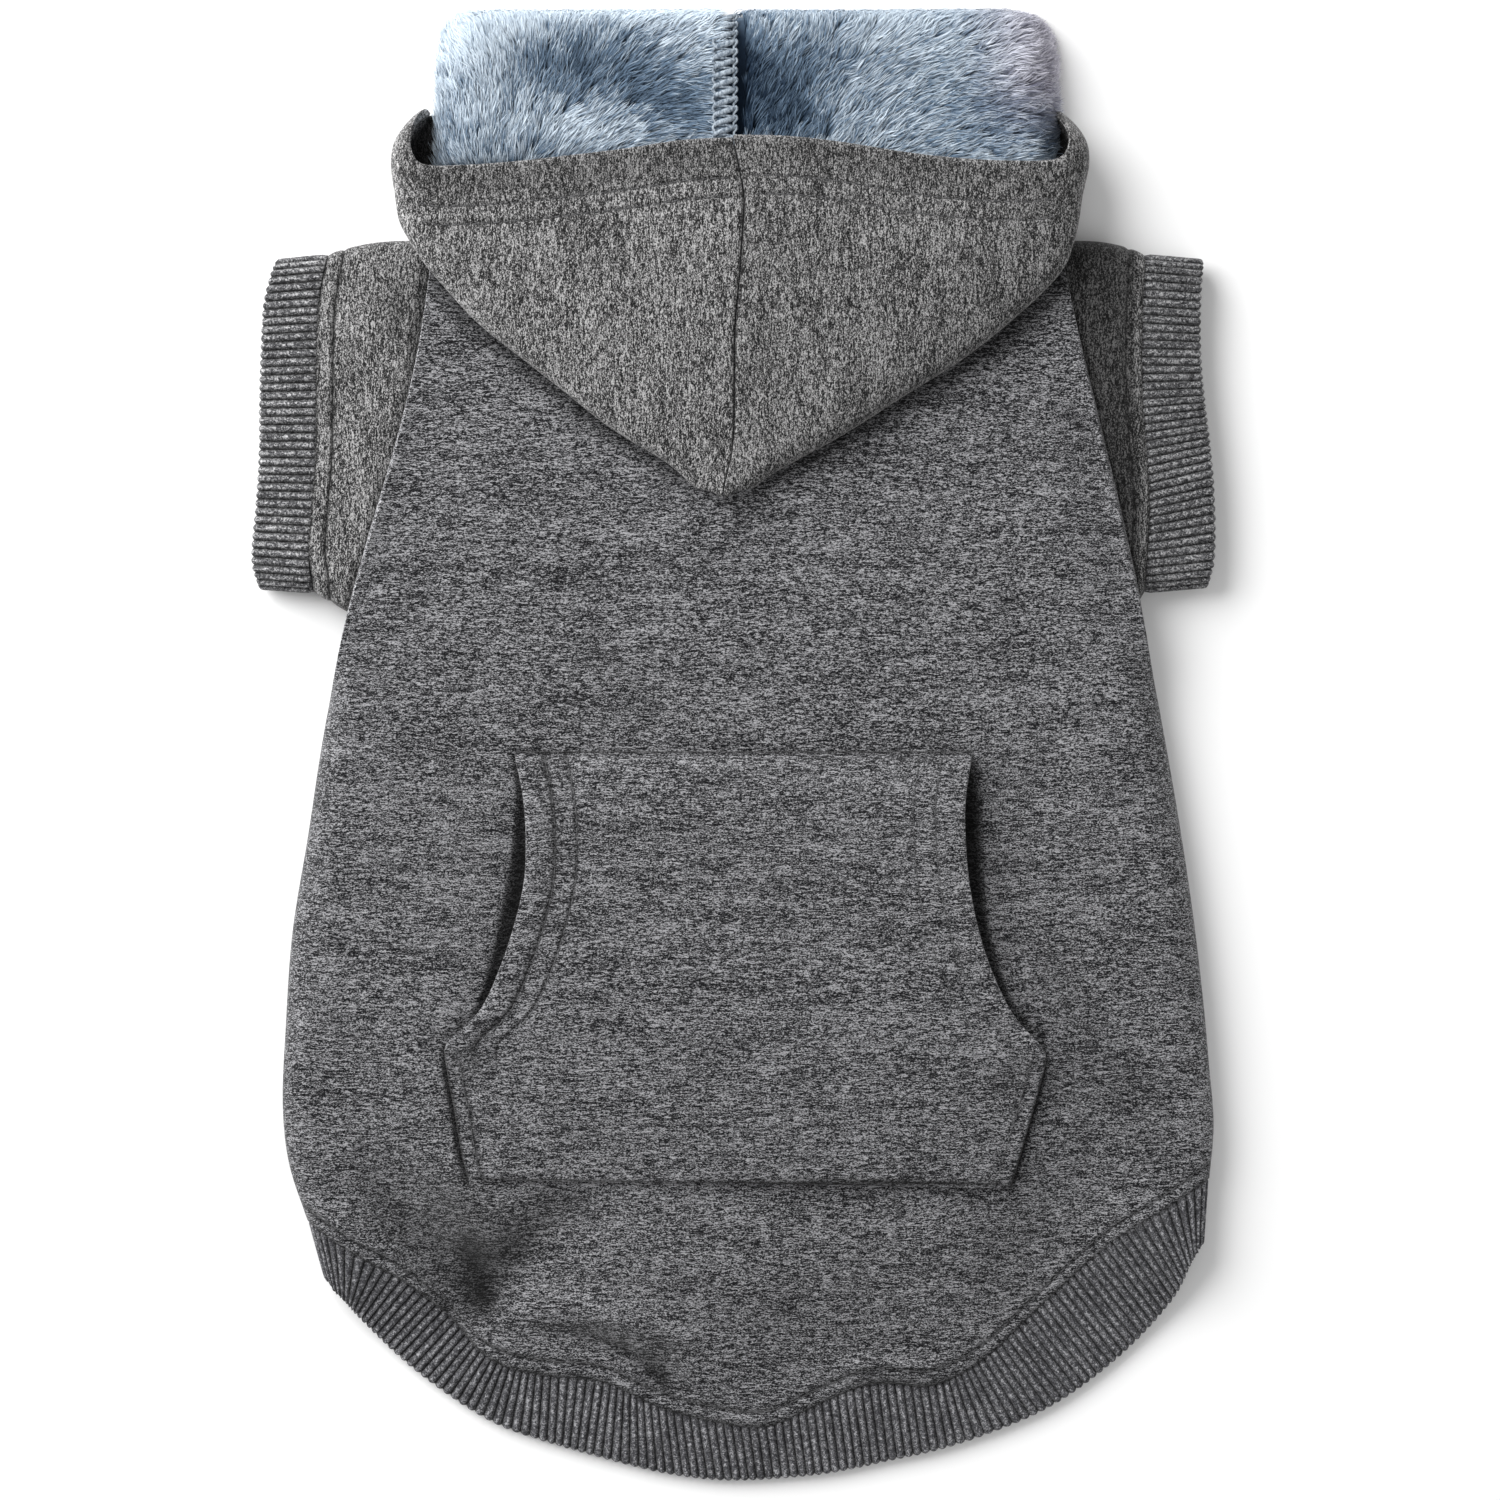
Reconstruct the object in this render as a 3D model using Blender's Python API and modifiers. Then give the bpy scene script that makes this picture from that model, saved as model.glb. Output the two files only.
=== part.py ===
# Dog hoodie lying flat, back up: fleece body and sleeves, ribbed bands, a hood with plush lining and a pocket.
# Metres, +Z up, +Y towards the head. The origin is the bottom centre of the bounding box.
import math

import bmesh
import bpy

# Overall outline
GARMENT_LENGTH = 0.3827
GARMENT_WIDTH = 0.2509

# Cloth
FLEECE = 0.0022
HOOD_FLEECE = 0.0019
PLUSH = 0.0042
RIBBING = 0.0019
GAP = 0.0003
FACET_ROOM = 0.0004

# Heights of the lying garment
BODY_HEIGHT = 0.0142
SLEEVE_DROP = 0.0030
CUFF_DROP = 0.0008
EDGE_LIP = 0.0012
SIDE_ROUND = 0.0120
HOOD_HOLLOW = 0.0052
THROAT_RISE = 0.0008
POCKET_LIFT = 0.0050
TAIL_HEIGHT = 0.0034

SLEEVE_HEIGHT = BODY_HEIGHT - SLEEVE_DROP
CUFF_HEIGHT = SLEEVE_HEIGHT - CUFF_DROP
THROAT_HEIGHT = BODY_HEIGHT + THROAT_RISE

# Sewing sizes
RIB_PITCH = 0.0022
RIB_RELIEF = 0.0004
SLEEVE_TUCK = 0.0030
CHEST_INSET = 0.0040
ARMHOLE_HEIGHT = 0.0044
FOLD_REACH = 0.0070
SEAM_STRIP_WIDTH = 0.0058
SEAM_STRIP_LENGTH = 0.0350
SEAM_STRIP_HEIGHT = 0.0016
SEAM_THREAD_PITCH = 0.0025
SEAM_VALLEY_LEFT = 0.0005
SEAM_VALLEY_RIGHT = 0.0015
SEAM_VALLEY_REACH = 0.0100
LINING_ROUND = 0.0100

# Body edges. down: share of the side seam from the neck; left, right: shares of half the garment width.
BODY_SIDES = [
    ("down", "left", "right"),
    (0.00, -0.625, 0.681),
    (0.10, -0.654, 0.721),
    (0.20, -0.699, 0.763),
    (0.30, -0.757, 0.807),
    (0.40, -0.814, 0.852),
    (0.50, -0.855, 0.890),
    (0.60, -0.886, 0.924),
    (0.70, -0.918, 0.953),
    (0.80, -0.932, 0.976),
    (0.88, -0.938, 0.990),
    (0.94, -0.925, 0.999),
    (1.00, -0.886, 0.990),
]
# Hem of the back. across: share of the hem; x and y: shares of half the garment width and length.
BACK_HEM = [
    ("across", "seam_x", "seam_y", "edge_x", "edge_y"),
    (0.000, -0.886, -0.645, -0.853, -0.723),
    (0.056, -0.788, -0.692, -0.774, -0.781),
    (0.111, -0.681, -0.729, -0.689, -0.836),
    (0.167, -0.592, -0.781, -0.595, -0.884),
    (0.222, -0.509, -0.839, -0.493, -0.924),
    (0.278, -0.393, -0.861, -0.380, -0.950),
    (0.333, -0.273, -0.869, -0.266, -0.971),
    (0.389, -0.165, -0.902, -0.150, -0.990),
    (0.444, -0.049, -0.923, -0.032, -1.000),
    (0.500, 0.072, -0.931, 0.087, -0.998),
    (0.556, 0.182, -0.899, 0.205, -0.990),
    (0.611, 0.295, -0.871, 0.322, -0.974),
    (0.667, 0.416, -0.874, 0.438, -0.957),
    (0.722, 0.522, -0.839, 0.551, -0.932),
    (0.778, 0.611, -0.785, 0.660, -0.900),
    (0.833, 0.698, -0.730, 0.758, -0.856),
    (0.889, 0.786, -0.676, 0.847, -0.804),
    (0.944, 0.889, -0.634, 0.922, -0.744),
    (1.000, 0.988, -0.588, 0.979, -0.675),
]
# Hem of the belly. across: share of the body's width; seam and edge: shares of half the garment length.
BELLY_HEM = [
    ("across", "seam_y", "edge_y"),
    (0.00, -0.645, -0.723),
    (0.15, -0.560, -0.640),
    (0.35, -0.520, -0.596),
    (0.65, -0.520, -0.596),
    (0.85, -0.545, -0.622),
    (1.00, -0.588, -0.675),
]
# Body heights. down: share of the way to the hem; crown, flank, seam: shares of the body height for the
# back's middle, its flanks and the side seam or sleeve edge; round: share of the side's rounding.
BODY_HEIGHTS = [
    ("down", "crown", "flank", "seam", "round"),
    (0.00, 1.00, 1.00, 1.00, 0.40),
    (0.41, 1.00, 1.00, 1.00, 0.40),
    (0.48, 0.99, 0.99, 0.42, 0.70),
    (0.78, 0.96, 0.95, 0.42, 0.70),
    (0.86, 0.84, 0.90, 0.42, 0.62),
    (0.93, 0.50, 0.85, 0.42, 0.54),
    (1.00, 0.24, 0.80, 0.42, 0.48),
]
# Folds and dents of the back. Ends: shares of half width and half length; reach: share of half width;
# rise: share of the body height.
BACK_FOLDS = [
    ("x0", "y0", "x1", "y1", "reach", "rise"),
    (-0.71, -0.60, -0.56, -0.75, 0.060, -0.34),
    (-0.36, -0.65, -0.53, -0.75, 0.065, -0.24),
    (-0.53, -0.60, -0.51, -0.68, 0.055, 0.12),
    (-0.64, -0.69, -0.64, -0.73, 0.040, 0.14),
    (-0.30, -0.77, -0.13, -0.82, 0.045, 0.30),
    (-0.36, -0.80, -0.17, -0.86, 0.035, -0.24),
    (-0.14, -0.82, -0.16, -0.87, 0.040, -0.40),
    (0.26, -0.84, 0.44, -0.85, 0.060, 0.14),
    (0.10, -0.80, 0.18, -0.88, 0.040, -0.10),
    (0.62, -0.66, 0.56, -0.80, 0.050, -0.12),
    (-0.25, 0.11, -0.16, 0.04, 0.040, -0.07),
    (-0.80, 0.10, -0.70, -0.10, 0.050, 0.06),
    (0.80, 0.16, 0.72, -0.12, 0.050, 0.06),
]
# Hood from above. y: share of half length; left, seam, right: shares of half width.
HOOD_OUTLINE = [
    ("y", "left", "seam", "right"),
    (0.338, -0.068, -0.022, 0.036),
    (0.359, -0.090, -0.018, 0.051),
    (0.391, -0.148, -0.005, 0.138),
    (0.427, -0.244, 0.001, 0.237),
    (0.473, -0.333, 0.002, 0.346),
    (0.523, -0.430, 0.002, 0.469),
    (0.573, -0.527, 0.004, 0.567),
    (0.622, -0.596, 0.011, 0.649),
    (0.651, -0.635, 0.015, 0.686),
    (0.677, -0.660, 0.017, 0.700),
    (0.708, -0.689, 0.020, 0.713),
    (0.745, -0.699, 0.022, 0.721),
    (0.791, -0.710, 0.009, 0.737),
    (0.821, -0.704, 0.000, 0.733),
    (0.846, -0.684, -0.001, 0.713),
    (0.867, -0.656, -0.001, 0.683),
    (0.882, -0.621, -0.001, 0.668),
]
# Hood section heights. y: share of half length; top and bottom: shares of the hood's own depth above its seat.
HOOD_HEIGHTS = [
    ("y", "top", "bottom"),
    (0.338, 0.60, 0.00),
    (0.400, 0.72, 0.00),
    (0.500, 0.90, 0.00),
    (0.620, 1.00, 0.00),
    (0.677, 1.00, 0.00),
    (0.712, 1.00, 0.00),
    (0.750, 0.97, -0.60),
    (0.791, 0.95, -1.10),
    (0.821, 0.88, -1.30),
    (0.846, 0.42, -1.40),
    (0.867, -0.25, -1.45),
    (0.882, -0.85, -1.50),
]
# Where each lengthwise line of a hood half starts and ends. turn: 0 crown seam, 1 side fold, 2 floor seam;
# start, left_end, right_end: shares of half length.
HOOD_LINES = [
    ("turn", "start", "left_end", "right_end"),
    (0.00, 0.338, 0.825, 0.829),
    (0.14, 0.339, 0.821, 0.827),
    (0.28, 0.340, 0.810, 0.818),
    (0.44, 0.342, 0.800, 0.804),
    (0.58, 0.344, 0.792, 0.796),
    (0.72, 0.345, 0.787, 0.793),
    (0.84, 0.346, 0.790, 0.798),
    (0.87, 0.346, 0.815, 0.822),
    (0.90, 0.346, 0.842, 0.846),
    (0.93, 0.347, 0.860, 0.860),
    (0.96, 0.347, 0.870, 0.867),
    (1.00, 0.348, 0.874, 0.870),
    (1.05, 0.348, 0.872, 0.868),
    (1.10, 0.349, 0.850, 0.848),
    (1.16, 0.350, 0.790, 0.790),
    (1.30, 0.350, 0.715, 0.715),
    (1.55, 0.350, 0.679, 0.679),
    (1.78, 0.350, 0.679, 0.679),
    (2.00, 0.350, 0.679, 0.679),
]
# Plush lining from the rolled head end to the neck. y: share of half length; left, right: shares of half
# width; rise, side: shares of the throat height for its middle and its side edges.
LINING_ROWS = [
    ("y", "left", "right", "rise", "side"),
    (1.000, -0.520, 0.560, 0.06, 0.06),
    (0.998, -0.540, 0.582, 0.34, 0.06),
    (0.990, -0.562, 0.606, 0.62, 0.06),
    (0.974, -0.578, 0.628, 0.80, 0.06),
    (0.950, -0.586, 0.640, 0.90, 0.06),
    (0.905, -0.591, 0.646, 0.94, 0.06),
    (0.865, -0.594, 0.648, 0.97, 0.06),
    (0.830, -0.598, 0.650, 1.00, 0.06),
    (0.790, -0.600, 0.650, 0.98, 0.06),
    (0.765, -0.580, 0.640, 0.82, 0.20),
    (0.740, -0.540, 0.600, 0.62, 0.34),
    (0.712, -0.500, 0.560, 0.50, 0.34),
    (0.690, -0.490, 0.550, 0.39, 0.34),
    (0.670, -0.485, 0.545, 0.35, 0.34),
]
# Pocket on the back. y: share of half length; left, right: shares of half width; lift: share of its lift.
POCKET_ROWS = [
    ("y", "left", "right", "lift"),
    (-0.003, -0.455, 0.495, 0.00),
    (-0.030, -0.446, 0.488, 0.55),
    (-0.070, -0.434, 0.479, 0.92),
    (-0.120, -0.429, 0.479, 1.00),
    (-0.180, -0.432, 0.487, 1.00),
    (-0.240, -0.452, 0.505, 1.00),
    (-0.300, -0.482, 0.535, 0.98),
    (-0.360, -0.525, 0.582, 0.92),
    (-0.405, -0.592, 0.642, 0.80),
    (-0.444, -0.592, 0.637, 0.66),
    (-0.500, -0.577, 0.614, 0.42),
    (-0.560, -0.562, 0.588, 0.12),
    (-0.590, -0.550, 0.574, 0.00),
]
# Sleeve ends. across: share of the sleeve's width from the head side; seam, edge: shares of half the
# garment width for the cuff's two edges.
CUFF_LINES = [
    ("across", "left_seam", "left_edge", "right_seam", "right_edge"),
    (0.00, -0.853, -0.946, 0.865, 0.975),
    (0.15, -0.870, -0.973, 0.859, 0.968),
    (0.30, -0.874, -0.979, 0.857, 0.968),
    (0.45, -0.875, -0.982, 0.859, 0.976),
    (0.60, -0.876, -0.983, 0.867, 0.987),
    (0.75, -0.884, -0.990, 0.873, 0.996),
    (0.90, -0.891, -0.998, 0.868, 0.997),
    (1.00, -0.882, -0.983, 0.863, 0.983),
]
# Sleeve widths as shares of half the garment length: head side and tail side of each ring.
SLEEVE_RINGS = [
    ("out", "head", "tail", "rise"),
    (0.00, 0.690, 0.176, 1.00),
    (0.30, 0.694, 0.184, 1.00),
    (0.65, 0.690, 0.198, 0.97),
    (1.00, 0.676, 0.210, 0.92),
]
CUFF_RINGS = [
    ("out", "head", "tail", "rise"),
    (0.00, 0.675, 0.211, 1.00),
    (1.00, 0.668, 0.216, 0.96),
]

# Lines down the body panels: shares across, with the edge's lip in the last step.
BODY_LINES = [-1.0, -0.95, -0.89, -0.83, -0.765, -0.70, -0.60, -0.50, -0.40, -0.30, -0.20, -0.10, 0.0]
BODY_LINES += [-share for share in reversed(BODY_LINES[:-1])]

CHEST_SIDE_LINES = [-1.0, -0.95, -0.87, -0.78]
CHEST_LINES = CHEST_SIDE_LINES + [-0.70, -0.35, 0.0]
CHEST_LINES += [-share for share in reversed(CHEST_LINES[:-1])]

HALF_WIDTH = GARMENT_WIDTH / 2
HALF_LENGTH = GARMENT_LENGTH / 2
NECK_Y = 0.668 * HALF_LENGTH
SLEEVE_END = 0.41
SEAM_START = 0.48
# Rows that the back and chest share, so that their side seams run side by side.
SEAM_DOWNS = [SEAM_START, 0.54, 0.60, 0.66, 0.72, 0.78, 0.83, 0.87, 0.91, 0.94, 0.97, 1.00]


def smooth(edge0, edge1, value):
    """Ease from 0 to 1 as value goes from edge0 to edge1."""
    t = (value - edge0) / (edge1 - edge0)
    t = min(1.0, max(0.0, t))
    return t * t * (3.0 - 2.0 * t)


def read(table, key, at, column):
    """Read a column of a table at a value of its key, on a smooth curve through the rows."""
    names = table[0]
    rows = sorted(table[1:], key=lambda row: row[names.index(key)])
    xs = [row[names.index(key)] for row in rows]
    ys = [row[names.index(column)] for row in rows]
    if at <= xs[0]:
        return ys[0]
    if at >= xs[-1]:
        return ys[-1]
    i = max(k for k in range(len(xs)) if xs[k] <= at)
    slopes = []
    for k in (i, i + 1):
        low = max(k - 1, 0)
        high = min(k + 1, len(xs) - 1)
        slopes.append((ys[high] - ys[low]) / (xs[high] - xs[low]))
    span = xs[i + 1] - xs[i]
    t = (at - xs[i]) / span
    return (
        (2 * t**3 - 3 * t**2 + 1) * ys[i]
        + (t**3 - 2 * t**2 + t) * span * slopes[0]
        + (3 * t**2 - 2 * t**3) * ys[i + 1]
        + (t**3 - t**2) * span * slopes[1]
    )


def steps(count, start=0.0, end=1.0):
    """Even steps from start to end."""
    return [start + (end - start) * i / count for i in range(count + 1)]


def material(name, colour, roughness):
    made = bpy.data.materials.new(name)
    made.use_nodes = True
    shader = made.node_tree.nodes["Principled BSDF"]
    shader.inputs["Base Color"].default_value = (*colour, 1.0)
    shader.inputs["Roughness"].default_value = roughness
    shader.inputs["Metallic"].default_value = 0.0
    return made


def sheet(name, rows, thickness, cloth, collection, ring=False, flip=False):
    """A grid surface of rows of points, thickened below its face by Solidify; a ring closes on itself."""
    mesh = bpy.data.meshes.new(name)
    build = bmesh.new()
    verts = [[build.verts.new(point) for point in row] for row in rows]
    across = len(rows[0])
    for j in range(len(rows) - 1):
        for i in range(across if ring else across - 1):
            k = (i + 1) % across
            corners = [verts[j][i], verts[j][k], verts[j + 1][k], verts[j + 1][i]]
            if flip:
                corners.reverse()
            build.faces.new(corners)
    build.to_mesh(mesh)
    build.free()
    made = bpy.data.objects.new(name, mesh)
    collection.objects.link(made)
    mesh.materials.append(cloth)
    thicken = made.modifiers.new("Cloth", "SOLIDIFY")
    thicken.thickness = thickness
    thicken.offset = -1.0
    thicken.use_even_offset = True
    thicken.use_quality_normals = True
    return made


def body_hem_y(x_share):
    """The back hem's y at a place across, as a share of half the garment length."""
    return read(BACK_HEM, "seam_x", x_share, "seam_y")


def side_x(down, side):
    """The body's edge, left (-1) or right (+1), as x in metres."""
    column = "left" if side < 0 else "right"
    return read(BODY_SIDES, "down", down, column) * HALF_WIDTH


def fold_rise(x, y):
    """Height that the folds add at a place where the body has its full height."""
    total = 0.0
    sx = x / HALF_WIDTH
    sy = y / HALF_LENGTH
    stretch = HALF_LENGTH / HALF_WIDTH
    for x0, y0, x1, y1, reach, rise in BACK_FOLDS[1:]:
        ax = x1 - x0
        ay = (y1 - y0) * stretch
        px = sx - x0
        py = (sy - y0) * stretch
        along = min(1.0, max(0.0, (px * ax + py * ay) / (ax * ax + ay * ay)))
        away = math.hypot(px - along * ax, py - along * ay) / reach
        total += rise * math.exp(-away * away) * BODY_HEIGHT
    return total


def rounded_edge(part, round_share, seamed):
    """Across a panel from its middle (part 0) to its edge (part 1): the share out, the share of the
    fall to the edge, and the share of the upright lip that a seamed edge ends in."""
    flat = 0.70
    lip_start = 0.95
    if part <= flat:
        return part / flat * (1.0 - round_share), 0.0, 0.0
    open_part = (part - flat) / (1.0 - flat)
    open_out = 1.0 - round_share * (1.0 - open_part)
    turn = min(1.0, (part - flat) / (lip_start - flat)) * math.pi / 2
    out = 1.0 - round_share * (1.0 - math.sin(turn))
    fall = 1.0 - math.cos(turn)
    lip = max(0.0, (part - lip_start) / (1.0 - lip_start))
    return (
        open_out + (out - open_out) * seamed,
        open_part**2 + (fall - open_part**2) * seamed,
        lip * seamed,
    )


def crown_height(out, down):
    """The back panel's height at a share out from its middle, before the edge rounds down."""
    crown = read(BODY_HEIGHTS, "down", down, "crown")
    flank = read(BODY_HEIGHTS, "down", down, "flank")
    return (crown + (flank - crown) * smooth(0.66, 0.90, out)) * BODY_HEIGHT


def body_middle(down):
    return 0.5 * (side_x(down, -1) + side_x(down, 1))


def seamed_at(down):
    """0 where the body's edge is the sleeve's, 1 where it is the side seam."""
    return smooth(SLEEVE_END, SEAM_START, down)


def back_point(across, down):
    """The back panel's outer face. across: -1 left edge to 1 right edge; down: 0 neck to 1 hem."""
    side = -1 if across < 0 else 1
    middle = body_middle(down)
    reach = side_x(down, side) - middle
    seamed = seamed_at(down)
    round_share = read(BODY_HEIGHTS, "down", down, "round") * SIDE_ROUND / abs(reach)
    out, fall, lip = rounded_edge(abs(across), round_share, seamed)
    crown = crown_height(out, down)
    low = read(BODY_HEIGHTS, "down", down, "seam") * BODY_HEIGHT + EDGE_LIP * seamed
    hem_x = body_middle(1.0) + (side_x(1.0, side) - body_middle(1.0)) * out
    hem_y = body_hem_y(hem_x / HALF_WIDTH) * HALF_LENGTH
    x = middle + reach * out
    y = NECK_Y + (hem_y - NECK_Y) * down
    z = crown + (low - crown) * fall - EDGE_LIP * lip
    return x, y, z + fold_rise(x, y) * crown / BODY_HEIGHT * (1.0 - fall)


def back_height(x, y):
    """The back panel's outer height under a place away from its edges."""
    hem_y = body_hem_y(x / HALF_WIDTH) * HALF_LENGTH
    down = (y - NECK_Y) / (hem_y - NECK_Y)
    down = min(1.0, max(0.0, down))
    middle = body_middle(down)
    out = (x - middle) / (side_x(down, -1 if x < middle else 1) - middle)
    crown = crown_height(out, down)
    return crown + fold_rise(x, y) * crown / BODY_HEIGHT


def back_panel(cloth, collection):
    downs = steps(4, 0.0, SLEEVE_END) + SEAM_DOWNS
    rows = [[back_point(across, down) for across in BODY_LINES] for down in downs]
    return sheet("back_panel", rows, FLEECE, cloth, collection, flip=True)


def chest_point(across, down):
    """The chest panel's outer face, flat on the floor and turned up to the side seams and armholes."""
    side = -1 if across < 0 else 1
    seamed = seamed_at(down)
    inset = (SLEEVE_TUCK + CHEST_INSET) * (1.0 - seamed)
    seam = read(BODY_HEIGHTS, "down", down, "seam") * BODY_HEIGHT - GAP - FACET_ROOM
    edge = ARMHOLE_HEIGHT + (seam - ARMHOLE_HEIGHT) * seamed
    climb_height = edge - EDGE_LIP
    middle = body_middle(down)
    reach = side_x(down, side) - side * inset - middle
    out, climb, lip = rounded_edge(abs(across), 1.2 * climb_height / abs(reach), 1.0)
    hem_y = read(BELLY_HEM, "across", (side * out + 1.0) / 2, "seam_y") * HALF_LENGTH
    x = middle + reach * out
    y = NECK_Y + (hem_y - NECK_Y) * down
    return x, y, climb_height * climb + EDGE_LIP * lip


def chest_panel(cloth, collection):
    downs = steps(3, 0.0, SLEEVE_END) + SEAM_DOWNS
    rows = [[chest_point(across, down) for across in CHEST_LINES] for down in downs]
    return sheet("chest_panel", rows, FLEECE, cloth, collection)


def ring_place(turn, head, tail, high, sunk=0.0):
    """A place on a flattened tube lying on the floor, sunk inwards by a depth. turn runs 0 to 1 from the
    head end over the top and back below."""
    radius = high / 2
    straight = head - tail - high
    bend = math.pi * radius
    along = (turn % 1.0) * (2 * straight + 2 * bend)
    if along < straight:
        puff = 0.03 * high * math.sin(math.pi * along / straight)
        return head - radius - along, high + puff - sunk
    along -= straight
    if along < bend:
        angle = along / radius
        reach = radius - sunk
        return tail + radius - reach * math.sin(angle), radius + reach * math.cos(angle)
    along -= bend
    if along < straight:
        return tail + radius + along, sunk
    angle = (along - straight) / radius
    reach = radius - sunk
    return head - radius + reach * math.sin(angle), radius - reach * math.cos(angle)


def root_x(y, side):
    """Where a sleeve starts under the body's edge."""
    end_y = read(BACK_HEM, "across", 0.0 if side < 0 else 1.0, "seam_y") * HALF_LENGTH
    down = (y - NECK_Y) / (end_y - NECK_Y)
    return side_x(min(1.0, max(0.0, down)), side) - side * SLEEVE_TUCK


def cuff_x(y, side, edge):
    """The cuff's seam (edge False) or outer edge (edge True) at a place across the sleeve."""
    head = read(SLEEVE_RINGS, "out", 1.0, "head") * HALF_LENGTH
    tail = read(SLEEVE_RINGS, "out", 1.0, "tail") * HALF_LENGTH
    across = min(1.0, max(0.0, (head - y) / (head - tail)))
    column = ("left" if side < 0 else "right") + ("_edge" if edge else "_seam")
    return read(CUFF_LINES, "across", across, column) * HALF_WIDTH


def sleeve(name, side, cloth, collection):
    turns = steps(24)[:-1]
    rows = []
    for out in steps(4):
        head = read(SLEEVE_RINGS, "out", out, "head") * HALF_LENGTH
        tail = read(SLEEVE_RINGS, "out", out, "tail") * HALF_LENGTH
        high = read(SLEEVE_RINGS, "out", out, "rise") * SLEEVE_HEIGHT
        row = []
        for turn in turns:
            y, z = ring_place(turn, head, tail, high)
            start = root_x(y, side)
            end = cuff_x(y, side, False) - side * (GAP + FACET_ROOM)
            row.append((start + (end - start) * out, y, z))
        rows.append(row)
    return sheet(name, rows, FLEECE, cloth, collection, ring=True, flip=side < 0)


def cuff(name, side, cloth, collection):
    """A ribbed ring: two lines of points for each rib, raised and sunk by half the relief."""
    rings = []
    for out in (0.0, 1.0):
        head = read(CUFF_RINGS, "out", out, "head") * HALF_LENGTH
        tail = read(CUFF_RINGS, "out", out, "tail") * HALF_LENGTH
        high = read(CUFF_RINGS, "out", out, "rise") * CUFF_HEIGHT
        rings.append((head, tail, high))
    length = 2 * (rings[0][0] - rings[0][1] - rings[0][2]) + math.pi * rings[0][2]
    ribs = round(length / RIB_PITCH)
    rows = []
    for edge, (head, tail, high) in zip((False, True), rings):
        row = []
        for i in range(2 * ribs):
            y, z = ring_place(i / (2 * ribs), head, tail, high, RIB_RELIEF if i % 2 else 0.0)
            row.append((cuff_x(y, side, edge), y, z))
        rows.append(row)
    return sheet(name, rows, RIBBING, cloth, collection, ring=True, flip=side < 0)


def band_reach(share):
    """From the back hem's seam to its free edge, at a share along the hem."""
    turn_x = read(BACK_HEM, "across", share, "edge_x") - read(BACK_HEM, "across", share, "seam_x")
    turn_y = read(BACK_HEM, "across", share, "edge_y") - read(BACK_HEM, "across", share, "seam_y")
    return turn_x * HALF_WIDTH, turn_y * HALF_LENGTH


def band_ring():
    """The hem band's seam and free edge round the waist: along the back's hem, then back along the belly's."""
    ring = []
    for across in BODY_LINES:
        x, y, z = back_point(across, 1.0)
        share = read(BACK_HEM, "seam_x", x / HALF_WIDTH, "across")
        end_x, end_y = band_reach(0.0 if across < 0 else 1.0)
        turned = smooth(0.60, 0.89, abs(across))
        turn_x, turn_y = band_reach(share)
        turn_x += (end_x - turn_x) * turned
        turn_y += (end_y - turn_y) * turned
        rest = TAIL_HEIGHT + (z - TAIL_HEIGHT) * smooth(0.42, 0.80, abs(across))
        ring.append(((x, y, z), (x + turn_x, y + turn_y, rest)))
    for across in reversed(CHEST_LINES):
        x, y, z = chest_point(across, 1.0)
        share = (x - side_x(1.0, -1)) / (side_x(1.0, 1) - side_x(1.0, -1))
        turn_x = band_reach(0.0 if across < 0 else 1.0)[0] * smooth(0.0, 0.70, abs(across))
        turn_y = (read(BELLY_HEM, "across", share, "edge_y") - read(BELLY_HEM, "across", share, "seam_y"))
        ring.append(((x, y, z), (x + turn_x, y + turn_y * HALF_LENGTH, z)))
    return ring


def band_place(ring, runs, run):
    """The seam and edge points at a run along the ring, between its lines."""
    run %= runs[-1]
    i = max(k for k in range(len(runs) - 1) if runs[k] <= run + 1e-9)
    t = (run - runs[i]) / (runs[i + 1] - runs[i])
    after = ring[(i + 1) % len(ring)]
    seam = [a + (b - a) * t for a, b in zip(ring[i][0], after[0])]
    edge = [a + (b - a) * t for a, b in zip(ring[i][1], after[1])]
    return seam, edge


BAND_EASE = (-1.0, -0.5, 0.0, 0.5, 1.0)


def band_smooth(ring, runs, run):
    """The seam and edge points at a run, eased round the corners of the ring's lines."""
    near = [band_place(ring, runs, run + RIB_PITCH * step) for step in BAND_EASE]
    seam = [sum(place[0][k] for place in near) / len(near) for k in range(3)]
    edge = [sum(place[1][k] for place in near) / len(near) for k in range(3)]
    return seam, edge


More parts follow.
